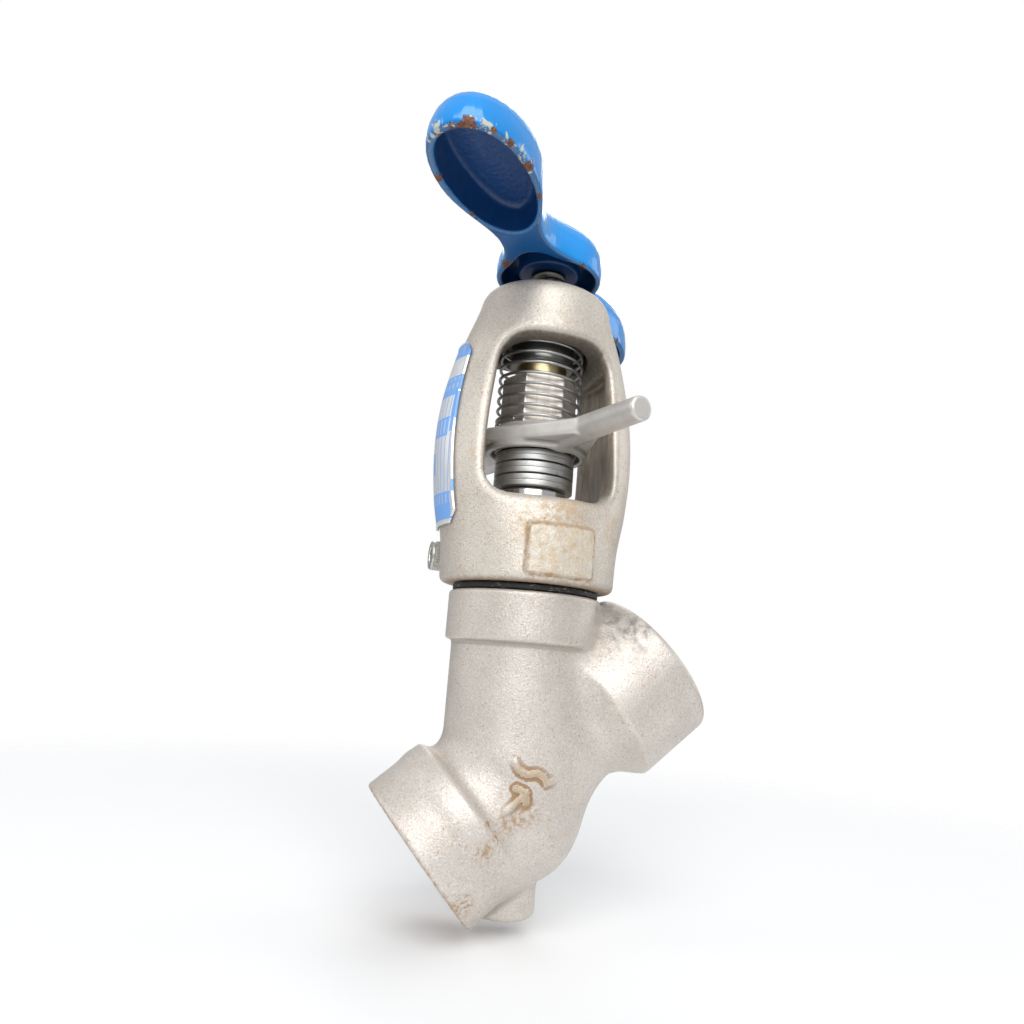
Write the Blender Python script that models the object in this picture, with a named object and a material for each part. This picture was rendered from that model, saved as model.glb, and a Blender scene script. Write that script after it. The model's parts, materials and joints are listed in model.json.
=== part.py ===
"""Y-pattern shut-off and flow control valve with a clamped yoke, a live-loaded gland and a bar handle.

Frame: +Z runs up the stem, +X lies in the plane of the pipe, and the origin is the flow centre, where
the pipe's axis crosses the stem's. Metres. The valve is shut.
"""

import math

import bmesh
import bpy
from mathutils import Matrix, Vector
from mathutils.geometry import interpolate_bezier

MM = 0.001
FIT = 0.3 * MM                      # clearance between pieces that stand still
RUN = 0.35 * MM                     # clearance between pieces that move past each other
ROUND = 40                          # segments round a large turned piece
SMALL_ROUND = 24                    # segments round a small turned piece

# Pipe run and body
PIPE_ANGLE = math.radians(49.5)     # from the stem's axis to the pipe's axis
HUB_RADIUS = 24.0 * MM
INLET_LENGTH = 34.2 * MM            # flow centre to the inlet's face
OUTLET_LENGTH = 56.7 * MM           # flow centre to the outlet's face
SOCKET_RADIUS = 17.0 * MM           # takes a 33.4 mm pipe
SOCKET_DEPTH = 13.0 * MM
INLET_BORE = 9.0 * MM
OUTLET_BORE = 8.5 * MM
INLET_SHIFT = -4.0 * MM             # the inlet's bore runs under the seat
OUTLET_SHIFT = 5.0 * MM             # the outlet's bore leaves above it
BARREL_RADIUS = 21.2 * MM
BARREL_BOTTOM = -8.5 * MM           # centre of the barrel's round lower end
BAND_RADIUS = 23.0 * MM
BAND_BOTTOM = 39.0 * MM
BAND_TOP = 53.6 * MM
NECK_RADIUS = 20.0 * MM
NECK_TOP = 77.7 * MM
BOSS_RADIUS = 9.5 * MM
BOSS_BOTTOM = -37.4 * MM
PORT_RADIUS = 8.0 * MM
SEAT_Z = 3.0 * MM
CHAMBER_RADIUS = 10.4 * MM
PACKING_BORE = 11.0 * MM
PACKING_FLOOR = 50.0 * MM

# Stem, disc and packing
STEM_RADIUS = 5.75 * MM
STEM_HOLE = STEM_RADIUS + RUN
STEM_BUTTON = 7.2 * MM
STEM_SHOULDER = 159.8 * MM
STEM_TOP = 178.2 * MM
SPIGOT_TOP = 171.5 * MM
SPIGOT_RADIUS = 4.8 * MM
STUD_RADIUS = 4.0 * MM
DISC_RADIUS = 9.9 * MM
DISC_TOP = 18.0 * MM
PACKING_RINGS = 5
PACKING_START = 56.2 * MM
PACKING_PITCH = 2.7 * MM
GLAND_RADIUS = PACKING_BORE - RUN
GLAND_BOTTOM = 70.05 * MM

# Live-loading stack, gland nut and wrench
DISC_SPRINGS = 6
SPRING_OUTER = 12.5 * MM
SPRING_INNER = 6.1 * MM
SPRING_THICK = 1.68 * MM
SPRING_PITCH = 1.983 * MM
STACK_BOTTOM = 86.04 * MM
STACK_TOP = STACK_BOTTOM + DISC_SPRINGS * SPRING_PITCH
CAGE_RADIUS = 13.6 * MM
RACE_THICK = 0.8 * MM
CAGE_THICK = 1.5 * MM
NUT_BOTTOM = 101.5 * MM
NUT_TOP = 122.8 * MM
NUT_FLATS = 21.0 * MM
NUT_BORE = 8.65 * MM
NUT_TURN = math.radians(-8.6)       # one corner of the hexagon, from +X
WRENCH_RADIUS = 16.2 * MM
WRENCH_BOTTOM = 97.4 * MM
WRENCH_TOP = 106.3 * MM
WRENCH_RECESS = 14.1 * MM
ARM_Z = 101.7 * MM
ARM_REACH = 52.5 * MM
ARM_SHOULDER = 28.0 * MM            # the flat root of each arm ends here
ARM_ROOT_RADIUS = 4.1 * MM
ARM_TIP_RADIUS = 3.5 * MM
ARM_TURN = math.radians(14.8)       # front arm, from -Y towards +X

# Return spring
COIL_RADIUS = 13.15 * MM
COIL_WIRE = 0.5 * MM
COIL_BOTTOM = 107.0 * MM
COIL_TOP = 134.4 * MM
COIL_TURNS = 9.25
COIL_START = math.radians(219)      # where the lower end lies, from +X
COIL_STEPS = 14

# Yoke. Stations: height, half width along X, half depth along Y, in millimetres
YOKE_STATIONS = ((55.0, 26.6, 26.8), (68.0, 27.4, 26.8), (81.0, 29.8, 25.4), (97.0, 31.3, 22.9),
                 (113.0, 30.2, 21.3), (131.0, 26.2, 20.0), (145.0, 21.6, 18.6), (153.0, 20.6, 18.0))
YOKE_BOTTOM = 55.9 * MM
YOKE_TOP = 152.0 * MM
YOKE_BORE = NECK_RADIUS + FIT
YOKE_LIP = 78.1 * MM                # underside of the lip that rests over the neck
YOKE_LIP_RADIUS = 14.0 * MM
WINDOW_BOTTOM = 81.2 * MM
WINDOW_TOP = 131.3 * MM
WINDOW_WIDE = 20.5 * MM             # half width low down
WINDOW_NARROW = 17.0 * MM           # half width at the top
RECESS_RADIUS = 14.6 * MM           # takes the return spring's upper end
RECESS_TOP = 135.2 * MM
BUSHING_RADIUS = 10.2 * MM
BUSHING_NECK = 8.0 * MM
BUSHING_STEP = 127.2 * MM
BUSHING_TOP = 152.6 * MM
SLIT_WIDTH = 1.8 * MM
LUG_REACH = 20.0 * MM
LUG_BACK = 31.5 * MM
SCREW_Y = 26.0 * MM
SCREW_Z = 66.3 * MM
SCREW_RADIUS = 3.0 * MM
SCREW_HEAD_RADIUS = 4.9 * MM
SCREW_HEAD_LENGTH = 6.0 * MM
PLATE_BOTTOM = 72.0 * MM
PLATE_TOP = 130.0 * MM
PLATE_LOW_HALF = 12.0 * MM          # half width at the bottom
PLATE_HIGH_HALF = 8.6 * MM          # half width at the top
PLATE_THICK = 0.7 * MM

# Handle
HANDLE_TURN = math.radians(-125.0)  # near lobe, from +X
HANDLE_BOTTOM = 158.0 * MM
HANDLE_TOP = 176.8 * MM
HANDLE_BOSS_BOTTOM = 160.0 * MM
HANDLE_BOSS_RADIUS = 10.0 * MM
HUB_CUP_RADIUS = 15.6 * MM
HUB_CUP_TOP = 169.6 * MM
HUB_TOP = 174.6 * MM                # the hub stands lower than the lobes
POCKET_RADIUS = 8.8 * MM
POCKET_FLOOR = 171.4 * MM
WASHER_BOTTOM = 171.6 * MM
WASHER_TOP = 172.9 * MM
HANDLE_NUT_TOP = 177.0 * MM
LOBE_CUP_TOP = 168.5 * MM

ACROSS = Vector((-math.cos(PIPE_ANGLE), 0.0, math.sin(PIPE_ANGLE)))
PIPE_FRAME = Matrix.Rotation(PIPE_ANGLE, 4, "Y")


def clear_scene():
    for item in list(bpy.data.objects):
        bpy.data.objects.remove(item, do_unlink=True)


def make_material(name, colour, roughness, metallic):
    material = bpy.data.materials.new(name)
    material.use_nodes = True
    shader = material.node_tree.nodes["Principled BSDF"]
    shader.inputs["Base Color"].default_value = (*colour, 1.0)
    shader.inputs["Roughness"].default_value = roughness
    shader.inputs["Metallic"].default_value = metallic
    return material


def add_object(name, mesh, material=None):
    item = bpy.data.objects.new(name, mesh)
    bpy.context.collection.objects.link(item)
    if material:
        mesh.materials.append(material)
    mesh.shade_smooth()
    mesh.set_sharp_from_angle(angle=math.radians(35))
    return item


def finish_mesh(name, work):
    bmesh.ops.recalc_face_normals(work, faces=work.faces)
    mesh = bpy.data.meshes.new(name)
    work.to_mesh(mesh)
    work.free()
    return mesh


def turned(name, profile, material=None, segments=SMALL_ROUND, closed=True):
    """Turn a profile of (radius, height) round +Z. An open profile starts and ends on the axis."""
    work = bmesh.new()
    points = [work.verts.new((radius, 0.0, height)) for radius, height in profile]
    pairs = list(zip(points, points[1:] + points[:1]))
    if not closed:
        pairs = pairs[:-1]
    edges = [work.edges.new(pair) for pair in pairs]
    bmesh.ops.spin(work, geom=edges + points, cent=(0, 0, 0), axis=(0, 0, 1),
                   angle=2 * math.pi, steps=segments)
    bmesh.ops.remove_doubles(work, verts=work.verts, dist=1e-7)
    return add_object(name, finish_mesh(name, work), material)


def ring(name, inner, outer, bottom, top, material=None, segments=SMALL_ROUND, chamfer=0.0):
    """A plain ring with its outer edges chamfered."""
    profile = [(inner, bottom), (outer - chamfer, bottom), (outer, bottom + chamfer),
               (outer, top - chamfer), (outer - chamfer, top), (inner, top)]
    if not chamfer:
        profile = [(inner, bottom), (outer, bottom), (outer, top), (inner, top)]
    return turned(name, profile, material, segments)


def rod(name, radius, bottom, top, segments=SMALL_ROUND, material=None):
    profile = [(0.0, bottom), (radius, bottom), (radius, top), (0.0, top)]
    return turned(name, profile, material, segments, closed=False)


def prism(name, outline, low, high, material=None):
    """Extrude an outline of (x, y) points from height low to height high."""
    work = bmesh.new()
    floor = [work.verts.new((x, y, low)) for x, y in outline]
    face = work.faces.new(floor)
    raised = bmesh.ops.extrude_face_region(work, geom=[face])
    moved = [part for part in raised["geom"] if isinstance(part, bmesh.types.BMVert)]
    bmesh.ops.translate(work, verts=moved, vec=(0.0, 0.0, high - low))
    return add_object(name, finish_mesh(name, work), material)


def block(name, low, high):
    outline = [(low[0], low[1]), (high[0], low[1]), (high[0], high[1]), (low[0], high[1])]
    return prism(name, outline, low[2], high[2])


def hexagon(flats, turn=0.0):
    corner = flats / math.sqrt(3)
    steps = [turn + k * math.pi / 3 for k in range(6)]
    return [(corner * math.cos(angle), corner * math.sin(angle)) for angle in steps]


def bridge_rings(name, rings, material=None):
    """Skin a stack of closed rings of equal length and cap both ends."""
    work = bmesh.new()
    loops = [[work.verts.new(point) for point in loop] for loop in rings]
    for lower, upper in zip(loops, loops[1:]):
        for k in range(len(lower)):
            after = (k + 1) % len(lower)
            work.faces.new((lower[k], lower[after], upper[after], upper[k]))
    work.faces.new(list(reversed(loops[0])))
    work.faces.new(loops[-1])
    return add_object(name, finish_mesh(name, work), material)


def combine(item, tool, operation):
    """Add or cut with a hidden tool."""
    tool.hide_render = True
    tool.display_type = "WIRE"
    step = item.modifiers.new(tool.name, "BOOLEAN")
    step.operation = operation
    step.object = tool
    step.solver = "EXACT"


def cut(item, *tools):
    for tool in tools:
        combine(item, tool, "DIFFERENCE")


def unite(item, *tools):
    for tool in tools:
        combine(item, tool, "UNION")


def along_pipe(item, shift=0.0):
    """Lay a piece made along +Z on the pipe's axis, moved sideways in the pipe's plane."""
    item.matrix_world = Matrix.Translation(ACROSS * shift) @ PIPE_FRAME
    return item


def arc(centre, radius, start, end, steps):
    """Points of (radius, height) round an arc; angles are in degrees from +R towards +Z."""
    span = [math.radians(start + (end - start) * k / steps) for k in range(steps + 1)]
    return [(centre[0] + radius * math.cos(a), centre[1] + radius * math.sin(a)) for a in span]


def make_body(material):
    reach = math.degrees(math.acos(BOSS_RADIUS / BARREL_RADIUS))
    profile = [(0.0, BOSS_BOTTOM), (BOSS_RADIUS - 2 * MM, BOSS_BOTTOM), (BOSS_RADIUS, BOSS_BOTTOM + 2 * MM)]
    profile += arc((0.0, BARREL_BOTTOM), BARREL_RADIUS, -reach, 0.0, 8)
    profile += [(BARREL_RADIUS, BAND_BOTTOM - 4 * MM), (BAND_RADIUS, BAND_BOTTOM),
                (BAND_RADIUS, BAND_TOP - 1 * MM), (BAND_RADIUS - 1 * MM, BAND_TOP),
                (NECK_RADIUS, BAND_TOP), (NECK_RADIUS, NECK_TOP), (0.0, NECK_TOP)]
    body = turned("valve_body", profile, material, ROUND, closed=False)
    inlet_hub = [(0.0, -INLET_LENGTH), (HUB_RADIUS - 0.8 * MM, -INLET_LENGTH),
                 (HUB_RADIUS, -INLET_LENGTH + 0.8 * MM), (HUB_RADIUS, -17 * MM),
                 (21 * MM, -11 * MM), (0.0, -11 * MM)]
    outlet_hub = [(0.0, 6 * MM), (17.5 * MM, 6 * MM), (17.5 * MM, 27 * MM), (HUB_RADIUS, 34 * MM),
                  (HUB_RADIUS, OUTLET_LENGTH - 0.8 * MM), (HUB_RADIUS - 0.8 * MM, OUTLET_LENGTH),
                  (0.0, OUTLET_LENGTH)]
    unite(body,
          along_pipe(turned("tool_inlet_hub", inlet_hub, segments=ROUND, closed=False)),
          along_pipe(turned("tool_outlet_hub", outlet_hub, segments=ROUND, closed=False)))
    bore = [(0.0, -10 * MM), (PORT_RADIUS, -10 * MM), (PORT_RADIUS, SEAT_Z - 1 * MM),
            (PORT_RADIUS + 1 * MM, SEAT_Z), (CHAMBER_RADIUS, SEAT_Z), (CHAMBER_RADIUS, PACKING_FLOOR),
            (PACKING_BORE, PACKING_FLOOR), (PACKING_BORE, NECK_TOP + 2 * MM), (0.0, NECK_TOP + 2 * MM)]
    inlet_floor = -INLET_LENGTH + SOCKET_DEPTH
    outlet_floor = OUTLET_LENGTH - SOCKET_DEPTH
    cut(body,
        turned("tool_stem_bore", bore, segments=SMALL_ROUND, closed=False),
        along_pipe(rod("tool_inlet_socket", SOCKET_RADIUS, -INLET_LENGTH - 2 * MM, inlet_floor)),
        along_pipe(rod("tool_inlet_bore", INLET_BORE, inlet_floor - 1 * MM, 2 * MM, 24), INLET_SHIFT),
        along_pipe(rod("tool_outlet_socket", SOCKET_RADIUS, outlet_floor, OUTLET_LENGTH + 2 * MM)),
        along_pipe(rod("tool_outlet_bore", OUTLET_BORE, 12 * MM, outlet_floor + 1 * MM, 24), OUTLET_SHIFT))


def through_stations(z, column):
    """A smooth curve through the yoke's stations."""
    rows = YOKE_STATIONS
    k = max(i for i in range(len(rows) - 1) if i == 0 or rows[i][0] * MM <= z)

    def slope(i):
        low, high = rows[max(i - 1, 0)], rows[min(i + 1, len(rows) - 1)]
        return (high[column] - low[column]) / (high[0] - low[0])

    gap = rows[k + 1][0] - rows[k][0]
    t = min(max((z / MM - rows[k][0]) / gap, 0.0), 1.0)
    value = (2 * t**3 - 3 * t**2 + 1) * rows[k][column] + (t**3 - 2 * t**2 + t) * slope(k) * gap
    value += (3 * t**2 - 2 * t**3) * rows[k + 1][column] + (t**3 - t**2) * slope(k + 1) * gap
    return value * MM


def yoke_half_width(z):
    """Half the yoke's size along X: the legs bulge between the collar and the shoulder."""
    return through_stations(z, 1)


def yoke_half_depth(z):
    """Half the yoke's size along Y, front to back."""
    return through_stations(z, 2)


def yoke_ring(z, inset=0.0):
    width, depth = yoke_half_width(z) - inset, yoke_half_depth(z) - inset
    turns = [2 * math.pi * k / ROUND for k in range(ROUND)]
    return [(width * math.cos(a), depth * math.sin(a), z) for a in turns]


def yoke_outer(material):
    round_over = 3.5 * MM
    levels = [YOKE_BOTTOM + 0.8 * MM + k * (YOKE_TOP - round_over - YOKE_BOTTOM - 0.8 * MM) / 14
              for k in range(15)]
    rings = [yoke_ring(YOKE_BOTTOM, 0.8 * MM)] + [yoke_ring(z) for z in levels]
    for turn in (30, 60, 90):
        z = YOKE_TOP - round_over * (1 - math.sin(math.radians(turn)))
        rings.append(yoke_ring(z, round_over * (1 - math.cos(math.radians(turn)))))
    return bridge_rings("yoke", rings, material)


def window_outline():
    """Front outline of the window as (x, z): rounded corners, narrower at the top."""
    low, high = 6.0 * MM, 9.0 * MM
    right = [(WINDOW_WIDE - low + low * math.sin(a), WINDOW_BOTTOM + low - low * math.cos(a))
             for a in [math.pi / 2 * k / 5 for k in range(6)]]
    right.append((WINDOW_WIDE, WINDOW_BOTTOM + 20 * MM))
    right += [(WINDOW_NARROW - high + high * math.cos(a), WINDOW_TOP - high + high * math.sin(a))
              for a in [math.pi / 2 * k / 6 for k in range(7)]]
    return right + [(-x, z) for x, z in reversed(right)]


def standing_prism(name, outline, reach):
    """A prism whose (x, z) outline stands upright and runs from -reach to +reach along Y."""
    item = prism(name, outline, -reach, reach)
    item.matrix_world = Matrix.Rotation(math.pi / 2, 4, "X")
    return item


def lying_rod(name, radius, left, right, segments=SMALL_ROUND, material=None):
    """A rod along +X at the clamp screw's place."""
    item = rod(name, radius, left, right, segments, material)
    item.matrix_world = Matrix.Translation((0.0, SCREW_Y, SCREW_Z)) @ Matrix.Rotation(math.pi / 2, 4, "Y")
    return item


def make_yoke(material):
    yoke = yoke_outer(material)
    corner = 4 * MM
    lug_low, lug_high = SCREW_Z - 6.5 * MM, SCREW_Z + 6.5 * MM
    lug = [(-LUG_REACH, 12 * MM), (LUG_REACH, 12 * MM), (LUG_REACH, LUG_BACK - corner),
           (LUG_REACH - corner, LUG_BACK), (-LUG_REACH + corner, LUG_BACK), (-LUG_REACH, LUG_BACK - corner)]
    unite(yoke, prism("tool_lugs", lug, lug_low, lug_high))
    bore = [(0.0, YOKE_BOTTOM - 2 * MM), (YOKE_BORE, YOKE_BOTTOM - 2 * MM), (YOKE_BORE, YOKE_LIP),
            (YOKE_LIP_RADIUS, YOKE_LIP), (YOKE_LIP_RADIUS, WINDOW_BOTTOM + 2 * MM),
            (0.0, WINDOW_BOTTOM + 2 * MM)]
    top_bore = [(0.0, WINDOW_TOP - 5 * MM), (RECESS_RADIUS, WINDOW_TOP - 5 * MM),
                (RECESS_RADIUS, RECESS_TOP), (BUSHING_RADIUS + FIT, RECESS_TOP),
                (BUSHING_RADIUS + FIT, YOKE_TOP + 2 * MM), (0.0, YOKE_TOP + 2 * MM)]
    half_slit = SLIT_WIDTH / 2
    cut(yoke,
        turned("tool_neck_bore", bore, segments=ROUND, closed=False),
        standing_prism("tool_window", window_outline(), 40 * MM),
        turned("tool_top_bore", top_bore, segments=SMALL_ROUND, closed=False),
        block("tool_slit", (-half_slit, 10 * MM, YOKE_BOTTOM - 2 * MM), (half_slit, 40 * MM, 90 * MM)),
        lying_rod("tool_screw_hole", SCREW_RADIUS + FIT, -30 * MM, 17.5 * MM, 16))


def make_clamp_screw(material):
    head_left = -LUG_REACH - FIT - SCREW_HEAD_LENGTH
    profile = [(0.0, head_left), (SCREW_HEAD_RADIUS - 0.6 * MM, head_left),
               (SCREW_HEAD_RADIUS, head_left + 0.6 * MM), (SCREW_HEAD_RADIUS, -LUG_REACH - FIT),
               (SCREW_RADIUS, -LUG_REACH - FIT), (SCREW_RADIUS, 16 * MM),
               (SCREW_RADIUS - 0.6 * MM, 16.6 * MM), (0.0, 16.6 * MM)]
    place = Matrix.Translation((0.0, SCREW_Y, SCREW_Z)) @ Matrix.Rotation(math.pi / 2, 4, "Y")
    screw = turned("clamp_screw", profile, material, 24, closed=False)
    screw.matrix_world = place
    socket = prism("tool_hex_socket", hexagon(5 * MM), head_left - 1 * MM, head_left + 3 * MM)
    socket.matrix_world = place
    cut(screw, socket)


def make_nameplate(material):
    """A thin plate wrapped round the inlet side's leg, with clipped corners."""
    rows, columns, clip = 14, 6, 4 * MM
    gap = FIT

    def surface(z, share, lift):
        near_end = min(z - PLATE_BOTTOM, PLATE_TOP - z)
        share_up = (z - PLATE_BOTTOM) / (PLATE_TOP - PLATE_BOTTOM)
        half = PLATE_LOW_HALF + (PLATE_HIGH_HALF - PLATE_LOW_HALF) * share_up
        half -= max(0.0, clip - near_end) * 0.8
        y = half * share
        width, depth = yoke_half_width(z) + lift, yoke_half_depth(z) + lift
        return (-width * math.sqrt(1 - (y / depth) ** 2), y, z)

    work = bmesh.new()
    skins = []
    for lift in (gap, gap + PLATE_THICK):
        levels = [PLATE_BOTTOM + (PLATE_TOP - PLATE_BOTTOM) * k / rows for k in range(rows + 1)]
        skins.append([[work.verts.new(surface(z, -1 + 2 * c / columns, lift))
                       for c in range(columns + 1)] for z in levels])
    for skin in skins:
        for r in range(rows):
            for c in range(columns):
                work.faces.new((skin[r][c], skin[r][c + 1], skin[r + 1][c + 1], skin[r + 1][c]))
    inner, outer = skins
    for r in range(rows):
        for c in (0, columns):
            work.faces.new((inner[r][c], inner[r + 1][c], outer[r + 1][c], outer[r][c]))
    for r in (0, rows):
        for c in range(columns):
            work.faces.new((inner[r][c], inner[r][c + 1], outer[r][c + 1], outer[r][c]))
    add_object("nameplate", finish_mesh("nameplate", work), material)


def make_yoke_bushing(material):
    tube = NUT_BORE - RUN
    profile = [(STEM_HOLE, 108 * MM), (tube, 108 * MM), (tube, NUT_TOP + FIT), (BUSHING_NECK, NUT_TOP + FIT),
               (BUSHING_NECK, BUSHING_STEP), (BUSHING_RADIUS, BUSHING_STEP), (BUSHING_RADIUS, BUSHING_TOP),
               (STEM_HOLE, BUSHING_TOP)]
    turned("yoke_bushing", profile, material)


def make_packing(bushing_material, packing_material):
    chamfer = 1.5 * MM
    profile = [(STEM_HOLE + chamfer, PACKING_FLOOR + FIT), (PACKING_BORE - FIT, PACKING_FLOOR + FIT),
               (PACKING_BORE - FIT, PACKING_START - 0.2 * MM), (STEM_HOLE, PACKING_START - 0.2 * MM),
               (STEM_HOLE, PACKING_FLOOR + FIT + chamfer)]
    turned("backseat_bushing", profile, bushing_material)
    for k in range(PACKING_RINGS):
        bottom = PACKING_START + k * PACKING_PITCH
        ring(f"packing_ring_{k + 1}", STEM_RADIUS + 0.15 * MM, PACKING_BORE - 0.15 * MM, bottom,
             bottom + PACKING_PITCH - 0.1 * MM, packing_material, 24)


def make_gland(material):
    top = STACK_BOTTOM - 0.05 * MM
    profile = [(STEM_HOLE, GLAND_BOTTOM), (GLAND_RADIUS, GLAND_BOTTOM), (GLAND_RADIUS, top - 0.6 * MM),
               (GLAND_RADIUS - 0.6 * MM, top), (STEM_HOLE, top)]
    turned("gland", profile, material, ROUND)


def make_disc_springs(material):
    """Six coned washers in series, dished in turn up and down so that they meet in pairs."""
    for k in range(DISC_SPRINGS):
        low = STACK_BOTTOM + k * SPRING_PITCH
        high = low + SPRING_PITCH - 0.04 * MM
        profile = [(SPRING_INNER, low), (SPRING_OUTER, high - SPRING_THICK),
                   (SPRING_OUTER, high), (SPRING_INNER, low + SPRING_THICK)]
        if k % 2:
            profile = [(radius, low + high - z) for radius, z in profile]
        turned(f"disc_spring_{k + 1}", profile, material)


def make_thrust_bearing(race_material, cage_material):
    low = STACK_TOP + 0.05 * MM
    ring("thrust_race_lower", STEM_HOLE, 12.6 * MM, low, low + RACE_THICK, race_material)
    cage = low + RACE_THICK + 0.1 * MM
    ring("thrust_cage", 8.0 * MM, CAGE_RADIUS, cage, cage + CAGE_THICK, cage_material)
    upper = cage + CAGE_THICK + 0.1 * MM
    ring("thrust_race_upper", STEM_HOLE, 12.0 * MM, upper, upper + RACE_THICK, race_material)


def make_gland_nut(material):
    nut = prism("gland_nut", hexagon(NUT_FLATS, NUT_TURN), NUT_BOTTOM, NUT_TOP, material)
    cut(nut, rod("tool_nut_bore", NUT_BORE, NUT_BOTTOM - 1 * MM, NUT_TOP + 1 * MM))


def arm_root_outline():
    """Tapered root of both arms: straight sides that run out from the ring."""
    side = [(-14.0 * MM, -7.0 * MM), (-ARM_ROOT_RADIUS, -ARM_SHOULDER), (ARM_ROOT_RADIUS, -ARM_SHOULDER),
            (14.0 * MM, -7.0 * MM)]
    return side + [(-x, -y) for x, y in side]


def make_wrench(material):
    """A ring spanner with two arms that drops over the gland nut's hexagon."""
    shoulder = 2.8 * MM
    profile = [(0.0, WRENCH_BOTTOM), (WRENCH_RADIUS - 0.8 * MM, WRENCH_BOTTOM),
               (WRENCH_RADIUS, WRENCH_BOTTOM + 0.8 * MM), (WRENCH_RADIUS, WRENCH_TOP - shoulder),
               (WRENCH_RADIUS - shoulder, WRENCH_TOP), (0.0, WRENCH_TOP)]
    wrench = turned("gland_wrench", profile, material, ROUND, closed=False)
    taper = [(0.0, -ARM_REACH), (ARM_TIP_RADIUS - 0.5 * MM, -ARM_REACH),
             (ARM_TIP_RADIUS, -ARM_REACH + 0.5 * MM), (ARM_ROOT_RADIUS, -15 * MM),
             (ARM_ROOT_RADIUS, 15 * MM), (ARM_TIP_RADIUS, ARM_REACH - 0.5 * MM),
             (ARM_TIP_RADIUS - 0.5 * MM, ARM_REACH), (0.0, ARM_REACH)]
    arms = turned("tool_arms", taper, segments=20, closed=False)
    arms.matrix_world = (Matrix.Translation((0.0, 0.0, ARM_Z)) @ Matrix.Rotation(ARM_TURN, 4, "Z")
                         @ Matrix.Rotation(-math.pi / 2, 4, "X"))
    root = prism("tool_arm_root", arm_root_outline(), ARM_Z - 2.3 * MM, ARM_Z + 2.2 * MM)
    root.matrix_world = Matrix.Rotation(ARM_TURN, 4, "Z")
    unite(wrench, arms, root)
    cut(wrench,
        rod("tool_recess", WRENCH_RECESS, WRENCH_BOTTOM - 1 * MM, NUT_BOTTOM - 0.2 * MM),
        prism("tool_wrench_hex", hexagon(NUT_FLATS + 2 * RUN, NUT_TURN), 95 * MM, 110 * MM))


def make_return_spring(material):
    """A light left-hand compression spring between the yoke and the wrench, with closed ends."""
    count = int(COIL_TURNS * COIL_STEPS)
    curve = bpy.data.curves.new("wrench_spring", "CURVE")
    curve.dimensions = "3D"
    curve.bevel_depth = COIL_WIRE
    curve.bevel_resolution = 1
    curve.render_resolution_u = 0
    curve.use_fill_caps = True
    spline = curve.splines.new("POLY")
    spline.points.add(count)
    end_rise = 1.1 * MM
    rise = COIL_TOP - COIL_BOTTOM
    middle = (rise - 2 * end_rise) / (COIL_TURNS - 2)
    for k in range(count + 1):
        turns = k / COIL_STEPS
        z = COIL_BOTTOM + end_rise * min(turns, 1.0) + middle * min(max(turns - 1, 0.0), COIL_TURNS - 2)
        z += end_rise * max(turns - COIL_TURNS + 1, 0.0)
        angle = COIL_START - 2 * math.pi * turns
        spline.points[k].co = (COIL_RADIUS * math.cos(angle), COIL_RADIUS * math.sin(angle), z, 1.0)
    item = bpy.data.objects.new("wrench_spring", curve)
    item.data.materials.append(material)
    bpy.context.collection.objects.link(item)


def make_stem(material):
    profile = [(0.0, 6.6 * MM), (STEM_BUTTON - 0.6 * MM, 6.6 * MM), (STEM_BUTTON, 7.2 * MM),
               (STEM_BUTTON, 9.6 * MM), (STEM_RADIUS, 9.6 * MM), (STEM_RADIUS, STEM_SHOULDER),
               (SPIGOT_RADIUS, STEM_SHOULDER), (SPIGOT_RADIUS, SPIGOT_TOP), (STUD_RADIUS, SPIGOT_TOP),
               (STUD_RADIUS, STEM_TOP - 0.8 * MM), (STUD_RADIUS - 0.8 * MM, STEM_TOP), (0.0, STEM_TOP)]
    turned("stem", profile, material, closed=False)


def make_disc(disc_material, nut_material):
    profile = [(0.0, SEAT_Z - 1.5 * MM), (PORT_RADIUS - 1.5 * MM, SEAT_Z - 1.5 * MM),
               (PORT_RADIUS - 0.4 * MM, SEAT_Z + 0.4 * MM), (DISC_RADIUS, SEAT_Z + 1.2 * MM),
               (DISC_RADIUS, DISC_TOP), (8.3 * MM, DISC_TOP), (8.3 * MM, 10.0 * MM),
               (STEM_BUTTON + RUN, 10.0 * MM), (STEM_BUTTON + RUN, 6.2 * MM), (0.0, 6.2 * MM)]
    turned("disc", profile, disc_material, closed=False)
    ring("disc_nut", STEM_HOLE, 8.0 * MM, 10.2 * MM, DISC_TOP - 0.5 * MM, nut_material)


def bezier_path(corners, steps):
    """Points along joined cubic curves; corners is a list of (start, handle, handle, end)."""
    points = []
    for start, first, second, end in corners:
        flat = [Vector((x, y, 0.0)) for x, y in (start, first, second, end)]
        points += [(p.x, p.y) for p in interpolate_bezier(*flat, steps + 1)[:-1]]
    return points


def four_fold(quarter, tip):
    """Repeat a quarter outline, from the Y axis to the tip on +X, into a whole one."""
    right = quarter + [tip] + [(x, -y) for x, y in reversed(quarter)]
    return right + [(-x, -y) for x, y in right[1:-1]]


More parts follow.
